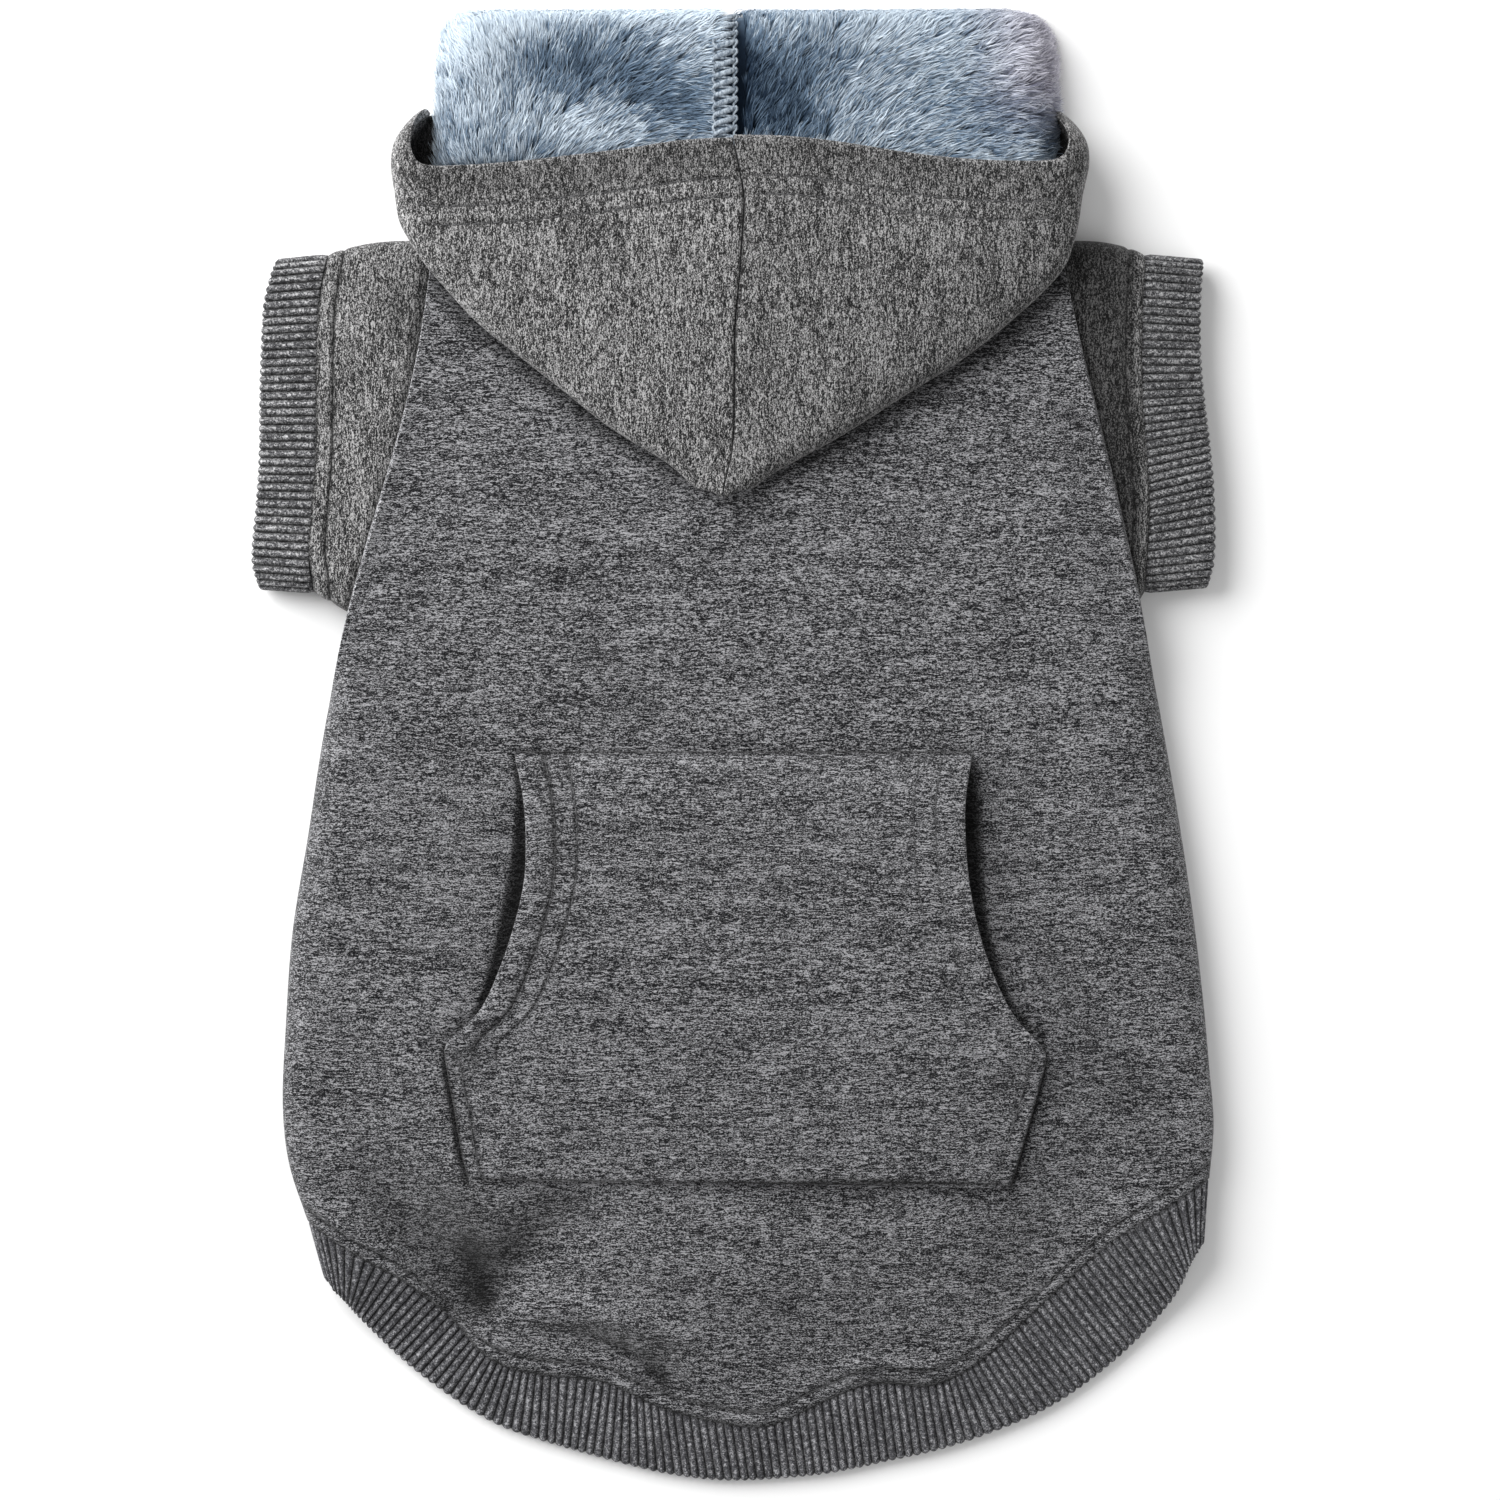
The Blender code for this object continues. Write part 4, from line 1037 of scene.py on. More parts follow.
def cuff_cloth(name, side, cloth):
    """A cuff with round ribs that run along the leg."""
    head, tail, high = ring_size(CUFF_RINGS, 0.0, CUFF_HEIGHT)
    ribs = round((2 * (head - tail - high) + math.pi * high) / RIB_PITCH)
    count = ribs * RIB_SAMPLES
    rows = []
    for out in CUFF_SHARES:
        head, tail, high = ring_size(CUFF_RINGS, out, CUFF_HEIGHT)
        row = []
        for i in range(count):
            y, z = ring_place(i / count, head, tail, high)
            seam = cuff_x(y, side, False)
            length = abs(cuff_x(y, side, True) - seam)
            sunk = rib_sink(i / RIB_SAMPLES) + edge_sink((1.0 - out) * length)
            sunk -= groove(out * length, 0.0010, 0.6 * SEAM_PINCH)
            y, z = ring_place(i / count, head, tail, high, sunk)
            # Painted shade between the ribs and along the seam, and over the whole right cuff
            crease = max(0.95 * rib_crease(i / RIB_SAMPLES), 0.7 * crease_at(out * length, 0.0006))
            if side > 0:
                y += RIGHT_LEAN * out * math.exp(-(((y - RIGHT_LEAN_Y) / RIGHT_LEAN_REACH) ** 2))
                crease = max(crease, RIGHT_CUFF_SHADE)
            reach = length * out - BAND_TUCK * (1.0 - out) + rib_tooth(i / RIB_SAMPLES, out)
            row.append((seam + side * reach, y, z, crease))
        rows.append(row)
    return shell(name, rows, RIBBING * 0.6, cloth, ring=True, flip=side < 0, even=False)


def hem_place(share, kind):
    """A place on the back hem's seam or free edge, at a share along it."""
    x = read(BACK_HEM, "across", share, kind + "_x") * HALF_WIDTH
    return x, read(BACK_HEM, "across", share, kind + "_y") * HALF_LENGTH


def band_ring():
    """The band's seam and free edge round the waist, with the way that the ribs lean."""
    ring = []
    for across in BAND_LINES:
        x, y, z = back_point(across, 1.0)
        share = read(BACK_HEM, "seam_x", x / HALF_WIDTH, "across")
        seam_x, seam_y = hem_place(share, "seam")
        free_x, free_y = hem_place(share + read(RIB_LEAN, "across", share, "lean"), "edge")
        end_x, end_y = hem_place(0.0 if across < 0 else 1.0, "edge")
        from_x, from_y = hem_place(0.0 if across < 0 else 1.0, "seam")
        turned = smooth(0.60, 0.89, abs(across))
        turn_x = free_x - seam_x + (end_x - from_x - free_x + seam_x) * turned
        turn_y = free_y - seam_y + (end_y - from_y - free_y + seam_y) * turned
        rest = TAIL_HEIGHT + (z - TAIL_HEIGHT) * smooth(0.42, 0.80, abs(across))
        ring.append(((x, y, z), (x + turn_x, y + turn_y, rest)))
    for across in reversed(CHEST_LINES):
        x, y, z = chest_point(across, 1.0)
        share = (x - side_x(1.0, -1)) / (side_x(1.0, 1) - side_x(1.0, -1))
        end = 0.0 if across < 0 else 1.0
        turn_x = (hem_place(end, "edge")[0] - hem_place(end, "seam")[0]) * smooth(0.0, 0.70, abs(across))
        turn_y = read(BELLY_HEM, "across", share, "edge_y") - read(BELLY_HEM, "across", share, "seam_y")
        ring.append(((x, y, z), (x + turn_x, y + turn_y * HALF_LENGTH, z)))
    return ring


def band_cloth(cloth):
    """The hem band, with round ribs that run across it."""
    ring = band_ring()
    middles = [[(a + b) / 2 for a, b in zip(seam, edge)] for seam, edge in ring]
    runs = [0.0]
    for here, there in zip(middles, middles[1:] + middles[:1]):
        runs.append(runs[-1] + math.dist(here, there))
    ribs = round(runs[-1] / RIB_PITCH)
    count = ribs * RIB_SAMPLES
    pitch = runs[-1] / ribs
    marks = [band_smooth(ring, runs, pitch * i / 2) for i in range(2 * ribs)]
    rows = [[] for share in BAND_SHARES]
    for i in range(count):
        place = i * 2 / RIB_SAMPLES
        low = int(place) % len(marks)
        high = (low + 1) % len(marks)
        t = place - int(place)
        seam = [a + (b - a) * t for a, b in zip(marks[low][0], marks[high][0])]
        edge = [a + (b - a) * t for a, b in zip(marks[low][1], marks[high][1])]
        along = [b - a for a, b in zip(marks[low - 1][0], marks[high][0])]
        down = [b - a for a, b in zip(seam, edge)]
        length = math.hypot(*down)
        normal = Vector(down).cross(Vector(along)).normalized()
        for row, share in zip(rows, BAND_SHARES):
            sunk = rib_sink(i / RIB_SAMPLES) + edge_sink((1.0 - share) * length)
            sunk -= groove(share * length, 0.0008, SEAM_PINCH)
            start = (rib_tooth(i / RIB_SAMPLES, share) - BAND_TUCK * (1.0 - share)) / length
            point = [s + d * (share + start) - n * sunk for s, d, n in zip(seam, down, normal)]
            # Painted shade between the ribs and along the seam
            crease = max(0.9 * rib_crease(i / RIB_SAMPLES), crease_at(share * length, SEAM_LINE))
            row.append((*point, crease))
    return shell("band_cloth", rows, RIBBING * 0.6, cloth, ring=True, flip=True, even=False)


def hood_cloth(name, side, cloth):
    """A half of the hood with its rolled rim and two stitch rows beside it."""
    column = side_column(side, "_end")
    turns = spread(steps(26, 0.0, 0.84), steps(10, 0.84, 1.16), steps(8, 1.16, 2.0), CROWN_TURNS)
    near = spread(RIM_NEAR, *(around(place, STITCH_REACH, 3) for place in RIM_STITCHES))
    rows = []
    for index in range(len(near) + HOOD_FAR_ROWS):
        row = []
        for turn in turns:
            start = read(HOOD_LINES, "turn", turn, "start") * HALF_LENGTH
            end = read(HOOD_LINES, "turn", turn, column)
            if 1.05 < turn < 1.30:
                end += (INNER_END - end) * smooth(1.27, 1.21, turn)
            end *= HALF_LENGTH
            length = end - start
            if index < len(near):
                back = near[index] * min(1.0, length / HOOD_SHORT)
            else:
                first = near[-1] * min(1.0, length / HOOD_SHORT)
                back = first + (length - first) * (index - len(near) + 1) / HOOD_FAR_ROWS
            x, y, z = hood_point(turn, end - back, side)
            outer = smooth(1.10, 0.80, turn)
            z += sum(groove(back - place) for place in RIM_STITCHES) * outer
            z += groove(turn * HOOD_SIDE, 0.0009, 0.6 * SEAM_PINCH) * outer
            x -= side * 0.5 * GAP * smooth(0.010, 0.0, turn)
            roll = max(0.0, 1.0 - back / RIM_ROLL)
            z -= 0.6 * RIM_ROLL * (1.0 - math.sqrt(1.0 - min(1.0, roll) ** 2)) * outer
            # Painted shade in the stitch grooves, along the crown seam, over the rim zone and over the right
            # half, where the light falls off
            crease = sum(crease_at(back - place) for place in RIM_STITCHES) * 0.45
            seam = CROWN_SEAM_DARK - 0.45 * smooth(0.50, 0.70, y / HALF_LENGTH)
            edge_shade = 0.36 * smooth(0.0125, 0.0065, back)
            crease = max(crease, seam * crease_at(turn * HOOD_SIDE, 0.0006), edge_shade)
            if side > 0:
                least, more = RIGHT_HOOD_SHADE
                crease = max(crease, least + more * smooth(0.50, 0.98, turn))
            # Painted highlight along the left half's side fold and along the rim's edge
            highlight = HOOD_HIGHLIGHT * smooth(0.88, 0.97, turn) * smooth(1.04, 1.00, turn) if side < 0 else 0.0
            highlight += HOOD_HIGHLIGHT * crease_at(back, 0.0008) * outer
            # Painted shade inside the fold, where the hood turns under
            row.append((x, y, z, max(crease * outer, 0.97 * smooth(1.02, 1.10, turn)) - highlight))
        rows.append(row)
    return shell(name, rows, HOOD_FLEECE, cloth, flip=side > 0, levels=1)


def pocket_cloth(cloth):
    """The pocket, hemmed with two stitch rows along its openings and sewn down elsewhere."""
    near = spread(POCKET_NEAR, *(around(place, STITCH_REACH, 3) for place in POCKET_HEM_STITCHES))
    shares = spread(steps(60, -0.020, -0.585), POCKET_END_SHARES, around(-0.402, 0.012, 4))
    rows = []
    for y_share in reversed(shares):
        left = edge_x(POCKET_ROWS, y_share, -1)
        right = edge_x(POCKET_ROWS, y_share, 1)
        lift = read(POCKET_ROWS, "y", y_share, "lift")
        sewn = smooth(-0.40, -0.46, y_share)
        xs = [left + d for d in near]
        xs += steps(30, left + near[-1], right - near[-1])[1:-1]
        xs += [right - d for d in reversed(near)]
        row = []
        for x in xs:
            inside = min(x - left, right - x)
            part = inside / (right - left)
            tilt = POCKET_TILT * (left + right - 2 * x) / (right - left)
            y = y_share * HALF_LENGTH + tilt * y_share / POCKET_BOTTOM
            from_top = POCKET_TOP * HALF_LENGTH - y
            from_bottom = y - POCKET_BOTTOM * HALF_LENGTH
            side = 1.0 - sewn * (1.0 - smooth(0.0, 0.15, part))
            z = back_height(x, y) + GAP + FACET_ROOM + POCKET_LIFT * lift * side + FLEECE
            strength = 1.0 if x < 0.5 * (left + right) else 0.35
            z += sum(groove(inside - place) for place in POCKET_HEM_STITCHES) * (1.0 - sewn) * strength
            hem = min(1.0, max(0.0, inside / POCKET_HEM_STITCHES[0]))
            z += POCKET_HEM_RISE * math.sin(math.pi * hem) * (1.0 - sewn) * strength
            z += groove(inside - POCKET_SIDE_STITCHES[1]) * sewn * strength
            z += groove(from_top - POCKET_TOP_STITCH) + groove(from_bottom - POCKET_TOP_STITCH)
            # Painted shade in the stitch grooves, along the sewn sides and along the top and bottom edges
            crease = 0.70 * crease_at(inside - POCKET_HEM_STITCHES[0], 0.0008)
            crease += 0.60 * crease_at(inside - POCKET_HEM_STITCHES[1])
            crease *= (1.0 - sewn) * strength
            crease += crease_at(inside - POCKET_SIDE_STITCHES[1]) * sewn * strength * 0.7
            crease += crease_at(inside, SEWN_LINE) * sewn
            crease += crease_at(from_top, 0.0009) + crease_at(from_bottom, 0.0008)
            row.append((x, y, z, min(1.0, crease)))
        rows.append(row)
    return shell("pocket_cloth", rows, FLEECE, cloth, flip=True, levels=1)


def plush_base(name, side, cloth):
    """The backing that the pile stands on."""
    shares = spread(steps(18, 0.0, 0.7), steps(14, 0.7, 1.0))
    ys = []
    for (y0, *_), (y1, *_) in zip(LINING_ROWS[1:], LINING_ROWS[2:]):
        ys += steps(3, y0, y1)[:-1]
    ys.append(LINING_ROWS[-1][0])
    rows = [[lining_point(across, y, side) for across in shares] for y in ys]
    made = shell(name, rows, PLUSH * 0.8, cloth, flip=side > 0)
    tones = [0.9 * plush_tone(vertex.co) for vertex in made.data.vertices]
    paint(made.data, tone=tones, lift=[0.35] * len(tones))
    return made


def plush_tone(point):
    """How light the pile is at a place, from the patches where it parts or lies down, a painted highlight
    along the rolled top edge and painted shade beside the overlock seam.
    """
    total = 0.52
    for *patch, amount in PLUSH_PATCHES[1:]:
        total += amount * patch_share(point.x, point.y, *patch)
    return min(1.0, max(TONE_LEAST, total))


def fringe_distance(point, side):
    """How far a place lies from the plush's free edges at the sides and the head end."""
    edge = edge_x(LINING_ROWS, point.y / HALF_LENGTH, side)
    return min(abs(edge - point.x), HALF_LENGTH - point.y)


def flow_at(x, y, side):
    """The way that the pile lies at a place, as a direction in plan."""
    if side < 0:
        lean = 70.0 + 62.0 * (-0.038 - x) / 0.035
        lean -= 26.0 * smooth(0.185, 0.160, y)
    else:
        lean = 62.0 - 50.0 * smooth(0.015, 0.060, x)
        lean += 30.0 * smooth(0.178, 0.190, y)
    angle = math.radians(min(165.0, max(2.0, lean)))
    return Vector((math.cos(angle), math.sin(angle), 0.0))


def pile(name, base, side, cloth, seed):
    """Locks of pile over a backing: tapered ribbons that lean with the flow and gather into clumps."""
    rng = random.Random(seed)
    mesh = base.data
    mesh.calc_loop_triangles()
    corners = np.array([v.co[:] for v in mesh.vertices])
    triangles = np.array([t.vertices[:] for t in mesh.loop_triangles])
    a, b, c = (corners[triangles[:, k]] for k in range(3))
    normals = np.cross(b - a, c - a)
    areas = np.linalg.norm(normals, axis=1) / 2
    normals /= np.maximum(areas[:, None] * 2, 1e-12)
    middle = (a + b + c) / 3
    outward = np.array((side * 0.5, 0.5, 1.0))
    seen = (normals @ outward > 0.25) & (middle[:, 1] > PILE_START * HALF_LENGTH)
    seen &= ~((normals[:, 1] < -0.3) & (middle[:, 1] < 0.78 * HALF_LENGTH))
    weights = np.where(seen, areas, 0.0).cumsum()

    def random_place():
        """A random place on the backing, and the number of its triangle."""
        pick = int(np.searchsorted(weights, rng.random() * weights[-1]))
        u = rng.random()
        v = rng.random()
        if u + v > 1:
            u = 1 - u
            v = 1 - v
        return Vector(a[pick] + (b[pick] - a[pick]) * u + (c[pick] - a[pick]) * v), pick

    clumps = [random_place()[0] for _ in range(int(weights[-1] / CLUMP_SPACING**2 * 1.3))]
    tree = KDTree(len(clumps))
    for index, point in enumerate(clumps):
        tree.insert(point, index)
    tree.balance()
    tones = [0.30 * rng.random() - 0.05 + 0.92 * plush_tone(point) for point in clumps]
    turns = [rng.gauss(0.0, 11.0) for _ in clumps]
    verts = []
    faces = []
    lifts = []
    shades = []
    greys = []
    for _ in range(LOCKS):
        root, pick = random_place()
        normal = Vector(normals[pick])
        centre, index, _ = tree.find(root)
        flow = flow_at(root.x, root.y, side)
        turn = math.radians(turns[index] + rng.gauss(0.0, 9.0))
        cos = math.cos(turn)
        sin = math.sin(turn)
        flow = Vector((flow.x * cos - flow.y * sin, flow.x * sin + flow.y * cos, 0.0))
        flow = (flow - normal * flow.dot(normal)).normalized()
        length = LOCK_LENGTH * rng.uniform(0.65, 1.15)
        stand = rng.uniform(0.40, 0.62)
        tip = root + flow * length * 0.88 + normal * length * stand
        gather = centre + flow * LOCK_LENGTH * 0.90 + normal * LOCK_LENGTH * 0.55
        tip += (gather - tip) * CLUMP_PULL * rng.uniform(0.3, 1.0)
        bow = root + normal * length * (stand + 0.10) + flow * length * 0.22
        fringe = smooth(0.0030, 0.0, fringe_distance(root, side))
        tip.x += side * FRINGE_REACH * fringe * rng.uniform(0.2, 1.0)
        tip.y = min(tip.y, HALF_LENGTH + FRINGE_REACH * rng.uniform(-1.0, 0.4))
        aside = flow.cross(normal).normalized()
        aside = (aside + normal * rng.uniform(-0.5, 0.5)).normalized()
        width = LOCK_WIDTH * rng.uniform(0.6, 1.2)
        # Locks near the free edges get a painted highlight
        tone = min(1.1, 0.85 * tones[index] + 0.46 * rng.random() - 0.13 + 0.30 * fringe)
        if OVERLOCK_CLEAR[0] < root.x - OVERLOCK_X < OVERLOCK_CLEAR[1]:
            continue
        tip.z = max(tip.z, LOCK_FLOOR)
        bow.z = max(bow.z, LOCK_FLOOR)
        grey = smooth(0.052, 0.080, root.x) * smooth(0.150, 0.175, root.y)
        first = len(verts)
        for step in LOCK_STEPS:
            point = root * (1 - step) ** 2 + bow * 2 * step * (1 - step) + tip * step**2
            half = width / 2 * (1.0 - step**2) ** 0.5
            places = [point - aside * half, point + aside * half] if step < 1 else [point]
            verts += places
            lifts += [step] * len(places)
            shades += [tone] * len(places)
            greys += [grey] * len(places)
        for k in range(len(LOCK_STEPS) - 2):
            i = first + 2 * k
            faces.append((i, i + 1, i + 3, i + 2))
        i = first + 2 * (len(LOCK_STEPS) - 2)
        faces.append((i, i + 1, i + 2))
    mesh = new_mesh(name, verts, faces)
    paint(mesh, lift=lifts, tone=shades, mauve=greys)
    return finished(linked(name, mesh), cloth)


def tube(path, radii, sides, verts, faces):
    """Add a closed round tube along a path of points to the lists of a mesh."""
    first = len(verts)
    count = len(path)
    up = Vector((0.0, 0.0, 1.0))
    for k, point in enumerate(path):
        ahead = path[min(k + 1, count - 1)] - path[max(k - 1, 0)]
        across = ahead.cross(up).normalized()
        over = across.cross(ahead).normalized()
        for i in range(sides):
            angle = 2 * math.pi * i / sides
            verts.append(point + (across * math.cos(angle) + over * math.sin(angle)) * radii[k])
    for k in range(count - 1):
        for i in range(sides):
            j = (i + 1) % sides
            low = first + k * sides
            faces.append((low + i, low + j, low + sides + j, low + sides + i))
    faces.append([first + i for i in reversed(range(sides))])
    faces.append([first + (count - 1) * sides + i for i in range(sides)])


def thread_piece(name, verts, faces, cloth):
    return finished(linked(name, new_mesh(name, verts, faces)), cloth)


def overlock(cloth):
    """The overlock threads over the lining's seam: two strands a stitch and a chain along each edge."""
    verts = []
    faces = []
    head = HALF_LENGTH * OVERLOCK_HEAD
    count = round(SEAM_STRIP_LENGTH / SEAM_THREAD_PITCH)
    half = SEAM_STRIP_WIDTH / 2
    for i in range(count):
        y = head - SEAM_THREAD_PITCH * (i + 0.5)
        share = y / HALF_LENGTH
        lift = OVERLOCK_LIFT - (OVERLOCK_LIFT - OVERLOCK_END_LIFT) * smooth(0.94, 0.99, share)
        base = lining_point(0.0, min(share, OVERLOCK_TOP), -1)[2] + lift
        for slope, offset, drop, radius in OVERLOCK_STRANDS:
            path = []
            radii = []
            for step in steps(8):
                x = OVERLOCK_X - half + 2 * half * step
                slant = slope * (step - 0.5) + offset
                arch = OVERLOCK_ARCH * math.sin(math.pi * step) - drop
                path.append(Vector((x, y + slant, base + arch)))
                radii.append(radius * (0.60 + 0.40 * math.sin(math.pi * step) ** 0.5))
            tube(path, radii, 7, verts, faces)
        for side in (-1, 1):
            path = []
            radii = []
            for step in steps(6):
                swing = 0.00045 * math.sin(2 * math.pi * step)
                place = y + SEAM_THREAD_PITCH * (0.5 - step) * 1.15
                x = OVERLOCK_X + side * (half - 0.0002) + side * swing
                path.append(Vector((x, place, base + 0.0003)))
                radii.append(CHAIN_RADIUS)
            tube(path, radii, 6, verts, faces)
    return thread_piece("overlock_threads", verts, faces, cloth)


def line_points(line, pitch):
    """Places along a line of points at an even pitch, with the way it runs there."""
    places = []
    left = pitch / 2
    for (x0, y0), (x1, y1) in zip(line, line[1:]):
        length = math.hypot(x1 - x0, y1 - y0)
        while left <= length:
            t = left / length
            places.append((x0 + (x1 - x0) * t, y0 + (y1 - y0) * t, math.atan2(y1 - y0, x1 - x0)))
            left += pitch
        left -= length
    return places


def stitch_rows(name, lines, target, cloth):
    """Short sunk threads along lines on a piece's upper face."""
    tree = BVHTree.FromPolygons(
        [v.co[:] for v in target.data.vertices], [p.vertices[:] for p in target.data.polygons],
    )
    verts = []
    faces = []
    radii = [STITCH_THICKNESS * share for _, share in STITCH_STEPS]
    for line in lines:
        for x, y, angle in line_points(line, STITCH_PITCH):
            path = []
            for step, _ in STITCH_STEPS:
                px = x + math.cos(angle) * STITCH_LENGTH * step
                py = y + math.sin(angle) * STITCH_LENGTH * step
                hit = tree.ray_cast(Vector((px, py, 0.1)), Vector((0, 0, -1)))[0]
                if hit is None:
                    break
                path.append(hit + Vector((0, 0, STITCH_THICKNESS * (0.35 - 1.6 * step * step))))
            if len(path) == len(radii):
                tube(path, radii, 5, verts, faces)
    return thread_piece(name, verts, faces, cloth)


def rim_rows(side):
    """The two stitch rows beside the hood's rim."""
    column = side_column(side, "_end")
    rows = []
    for back in RIM_STITCHES:
        row = []
        for turn in steps(24, 0.03, 0.84):
            end = read(HOOD_LINES, "turn", turn, column) * HALF_LENGTH
            row.append(hood_point(turn, end - back, side)[:2])
        rows.append(row)
    return rows


def pocket_stitch_rows():
    """The stitch rows along the pocket's openings and its sewn sides."""
    rows = []
    for side in (-1, 1):
        for inset, top, bottom in (
            (POCKET_HEM_STITCHES[0], -0.012, -0.39),
            (POCKET_HEM_STITCHES[1], -0.012, -0.37),
            (POCKET_SIDE_STITCHES[1], -0.42, -0.58),
        ):
            row = []
            for share in steps(24, top, bottom):
                row.append((edge_x(POCKET_ROWS, share, side) - side * inset, share * HALF_LENGTH))
            rows.append(row)
    return rows


def node(tree, kind, inputs=None, **settings):
    """Add a shader node, set its settings and link or set its inputs."""
    made = tree.nodes.new(kind)
    for key, value in settings.items():
        setattr(made, key, value)
    for key, value in (inputs or {}).items():
        socket = made.inputs[key]
        if isinstance(value, bpy.types.NodeSocket):
            tree.links.new(value, socket)
        else:
            socket.default_value = value
    return made


def maths(tree, operation, a, b):
    return node(tree, "ShaderNodeMath", {0: a, 1: b}, operation=operation).outputs[0]


def weighted(tree, *pairs):
    """The sum of values times their weights."""
    terms = [maths(tree, "MULTIPLY", value, weight) for value, weight in pairs]
    total = terms[0]
    for term in terms[1:]:
        total = maths(tree, "ADD", total, term)
    return total


def painted(tree, name):
    """The value of a mesh attribute."""
    return node(tree, "ShaderNodeAttribute", attribute_name=name).outputs["Fac"]


def bump(tree, shader, height, distance, strength=1.0):
    inputs = {"Strength": strength, "Distance": distance, "Height": height}
    raised = node(tree, "ShaderNodeBump", inputs).outputs["Normal"]
    tree.links.new(raised, shader.inputs["Normal"])


def ramp(tree, value, stops):
    made = node(tree, "ShaderNodeValToRGB", {"Fac": value})
    band = made.color_ramp
    while len(band.elements) < len(stops):
        band.elements.new(0.5)
    for element, (place, colour) in zip(band.elements, stops):
        element.position = place
        element.color = (*colour, 1.0)
    return made.outputs["Color"]


def noise(tree, places, scale, detail=2.0, roughness=0.5, distortion=0.0):
    """Noise on places that are scaled by a vector of features per metre."""
    scaled = node(tree, "ShaderNodeVectorMath", {0: places, 1: scale}, operation="MULTIPLY").outputs[0]
    return node(
        tree, "ShaderNodeTexNoise",
        {"Vector": scaled, "Scale": 1.0, "Detail": detail, "Roughness": roughness, "Distortion": distortion},
    ).outputs["Fac"]


def fabric(name, roughness, sheen, sheen_roughness=0.5, sheen_tint=(1.0, 1.0, 1.0)):
    made = bpy.data.materials.new(name)
    made.use_nodes = True
    tree = made.node_tree
    shader = tree.nodes["Principled BSDF"]
    shader.inputs["Roughness"].default_value = roughness
    shader.inputs["Specular IOR Level"].default_value = 0.15
    shader.inputs["Sheen Weight"].default_value = sheen
    shader.inputs["Sheen Roughness"].default_value = sheen_roughness
    shader.inputs["Sheen Tint"].default_value = (*sheen_tint, 1.0)
    places = node(tree, "ShaderNodeTexCoord").outputs["Object"]
    return made, tree, shader, places


def knit(name, grain, streak, tones):
    """Melange knit: fine salt-and-pepper fibres, longer streaks of lighter yarn and slow unevenness."""
    made, tree, shader, places = fabric(name, 0.95, 0.20)
    fibres = noise(tree, places, grain, 3.0, 0.75, 0.4)
    yarns = noise(tree, places, streak, 2.0, 0.55, 0.8)
    cloudy = noise(tree, places, [value * 0.12 for value in streak], 2.0, 0.5)
    total = weighted(tree, (fibres, 0.62), (yarns, 0.31), (cloudy, 0.07))
    # Darken the colour by the painted shade attribute; negative values paint a highlight
    darkened = maths(tree, "MULTIPLY", painted(tree, "crease"), PAINTED_SHADE_DARKENING)
    kept = maths(tree, "SUBTRACT", 1.0, darkened)
    colour = ramp(tree, total, tones)
    dimmed = node(tree, "ShaderNodeVectorMath", {0: colour, "Scale": kept}, operation="SCALE").outputs[0]
    tree.links.new(dimmed, shader.inputs["Base Color"])
    bump(tree, shader, total, KNIT_BUMP)
    return made


def plush_material(name, dark, middle, light):
    """Pile: dark roots, light tips, darker and lighter patches, and a greyer corner."""
    made, tree, shader, _ = fabric(name, 0.75, 0.28, 0.4, (0.85, 0.92, 1.0))
    shade = weighted(tree, (painted(tree, "lift"), 0.42), (painted(tree, "tone"), 0.58))
    colour = ramp(tree, shade, [(0.16, dark), (0.50, middle), (0.86, light)])
    inputs = {"Factor": painted(tree, "mauve"), "A": colour, "B": ramp(tree, shade, MAUVE_TONES)}
    mixed = node(tree, "ShaderNodeMix", inputs, data_type="RGBA")
    tree.links.new(mixed.outputs["Result"], shader.inputs["Base Color"])
    return made


def thread_material(name, dark, light, pitch):
    made, tree, shader, places = fabric(name, 0.7, 0.15)
    strands = noise(tree, places, (pitch, pitch * 0.5, pitch), 2.0, 0.6)
    tree.links.new(ramp(tree, strands, [(0.35, dark), (0.65, light)]), shader.inputs["Base Color"])
    bump(tree, shader, strands, THREAD_BUMP, 0.8)
    return made


def area_light(name, place, size, power):
    """A round light that looks at the middle of the garment."""
    data = bpy.data.lights.new(name, "AREA")
    data.shape = "DISK"
    data.size = size
    data.energy = power
    lamp = linked(name, data)
    lamp.location = place
    lamp.rotation_euler = (-Vector(place)).to_track_quat("-Z", "Y").to_euler()


def studio():
    """A pale floor, soft light from the upper left, and the camera straight above."""
    bpy.ops.mesh.primitive_plane_add(size=6.0, location=(0.0, 0.0, -0.0003))
    floor = bpy.context.object
    floor.name = "floor"
    made = bpy.data.materials.new("floor")
    made.use_nodes = True
    shader = made.node_tree.nodes["Principled BSDF"]
    shader.inputs["Base Color"].default_value = (0.98, 0.98, 0.98, 1.0)
    shader.inputs["Roughness"].default_value = 0.9
    floor.data.materials.append(made)

    world = bpy.data.worlds.new("studio")
    world.use_nodes = True
    sky = world.node_tree.nodes["Background"]
    sky.inputs["Color"].default_value = (1.0, 1.0, 1.0, 1.0)
    sky.inputs["Strength"].default_value = SKY_STRENGTH
    bpy.context.scene.world = world
    area_light("key", (-0.80, 0.66, 0.80), 1.30, 26.0)
    area_light("fill", (0.9, -0.5, 1.1), 1.0, 2.5)

    data = bpy.data.cameras.new("camera")
    data.lens = LENS_MM
    data.sensor_width = SENSOR_MM
    camera = linked("camera", data)
    x, y = at(CENTRE_PX, CENTRE_PX)
    camera.location = (x, y, CAMERA_PLANE + FRAME_PX * PIXEL * LENS_MM / SENSOR_MM)
    bpy.context.scene.camera = camera
    bpy.context.scene.view_settings.view_transform = "Standard"


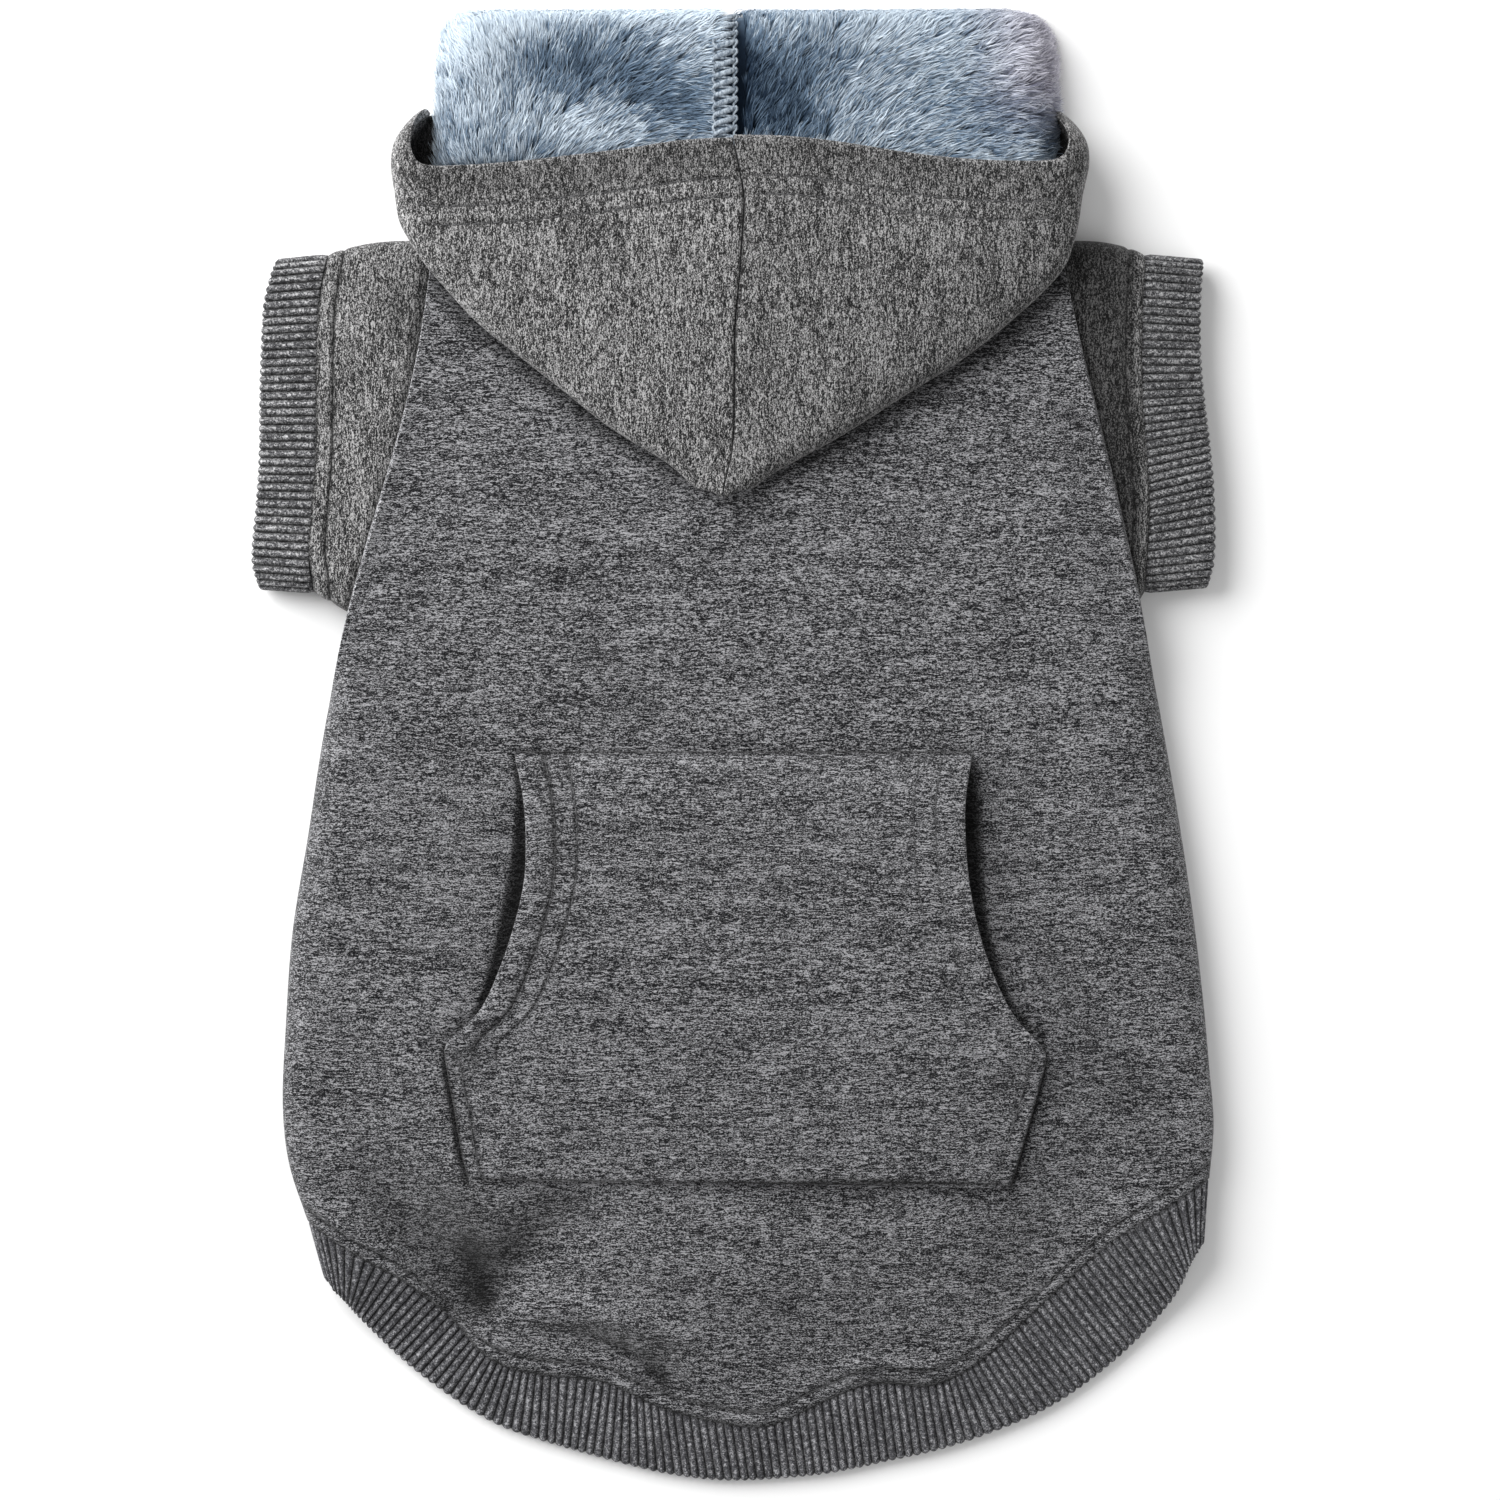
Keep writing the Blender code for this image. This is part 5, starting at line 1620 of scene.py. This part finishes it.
def main():
    studio()
    body_knit = knit("body_melange", (1950.0, 3800.0, 2000.0), (430.0, 2400.0, 900.0), BODY_TONES)
    sleeve_knit = knit("sleeve_melange", HOOD_GRAIN, HOOD_STREAK, HOOD_TONES)
    hood_knit = knit("hood_melange", HOOD_GRAIN, HOOD_STREAK, HOOD_TONES)
    rib_knit = knit("rib_melange", (2700.0, 2700.0, 2000.0), (1100.0, 1100.0, 900.0), RIB_TONES)
    cuff_knit = knit("cuff_melange", (2300.0, 2300.0, 2000.0), (900.0, 1100.0, 900.0), CUFF_TONES)
    plush = plush_material("plush_pile", (0.012, 0.026, 0.050), (0.130, 0.192, 0.272), (0.66, 0.75, 0.83))
    seam_thread = thread_material("seam_thread", (0.10, 0.13, 0.17), (0.42, 0.48, 0.54), 1500.0)
    dark_thread = thread_material("dark_thread", (0.020, 0.020, 0.022), (0.14, 0.14, 0.145), 2500.0)

    back = back_cloth(body_knit)
    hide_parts("back_panel")
    chest = chest_cloth(body_knit)
    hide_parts("chest_panel")
    band = band_cloth(rib_knit)
    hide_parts("hem_band")
    for label, side in (("left", -1), ("right", 1)):
        sleeve = sleeve_cloth("sleeve_cloth_" + label, side, sleeve_knit)
        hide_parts("sleeve_" + label)
        cuff = cuff_cloth("cuff_cloth_" + label, side, cuff_knit)
        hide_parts("cuff_" + label)
        hood = hood_cloth("hood_cloth_" + label, side, hood_knit)
        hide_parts("hood_" + label)
        stitch_rows("rim_stitches_" + label, rim_rows(side), hood, dark_thread)
        base = plush_base("plush_base_" + label, side, plush)
        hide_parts("hood_lining_" + label)
        locks = pile("plush_pile_" + label, base, side, plush, PILE_SEED + side)
    overlocked = overlock(seam_thread)
    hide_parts("lining_seam")
    pouch = pocket_cloth(body_knit)
    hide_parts("pocket")
    stitch_rows("pocket_stitches", pocket_stitch_rows(), pouch, dark_thread)
    hem = [back_point(across, 1.0) for across in steps(90, -0.9, 0.9)]
    stitch_rows("hem_stitches", [[(x, y + HEM_STITCH) for x, y, _ in hem]], back, dark_thread)


main()
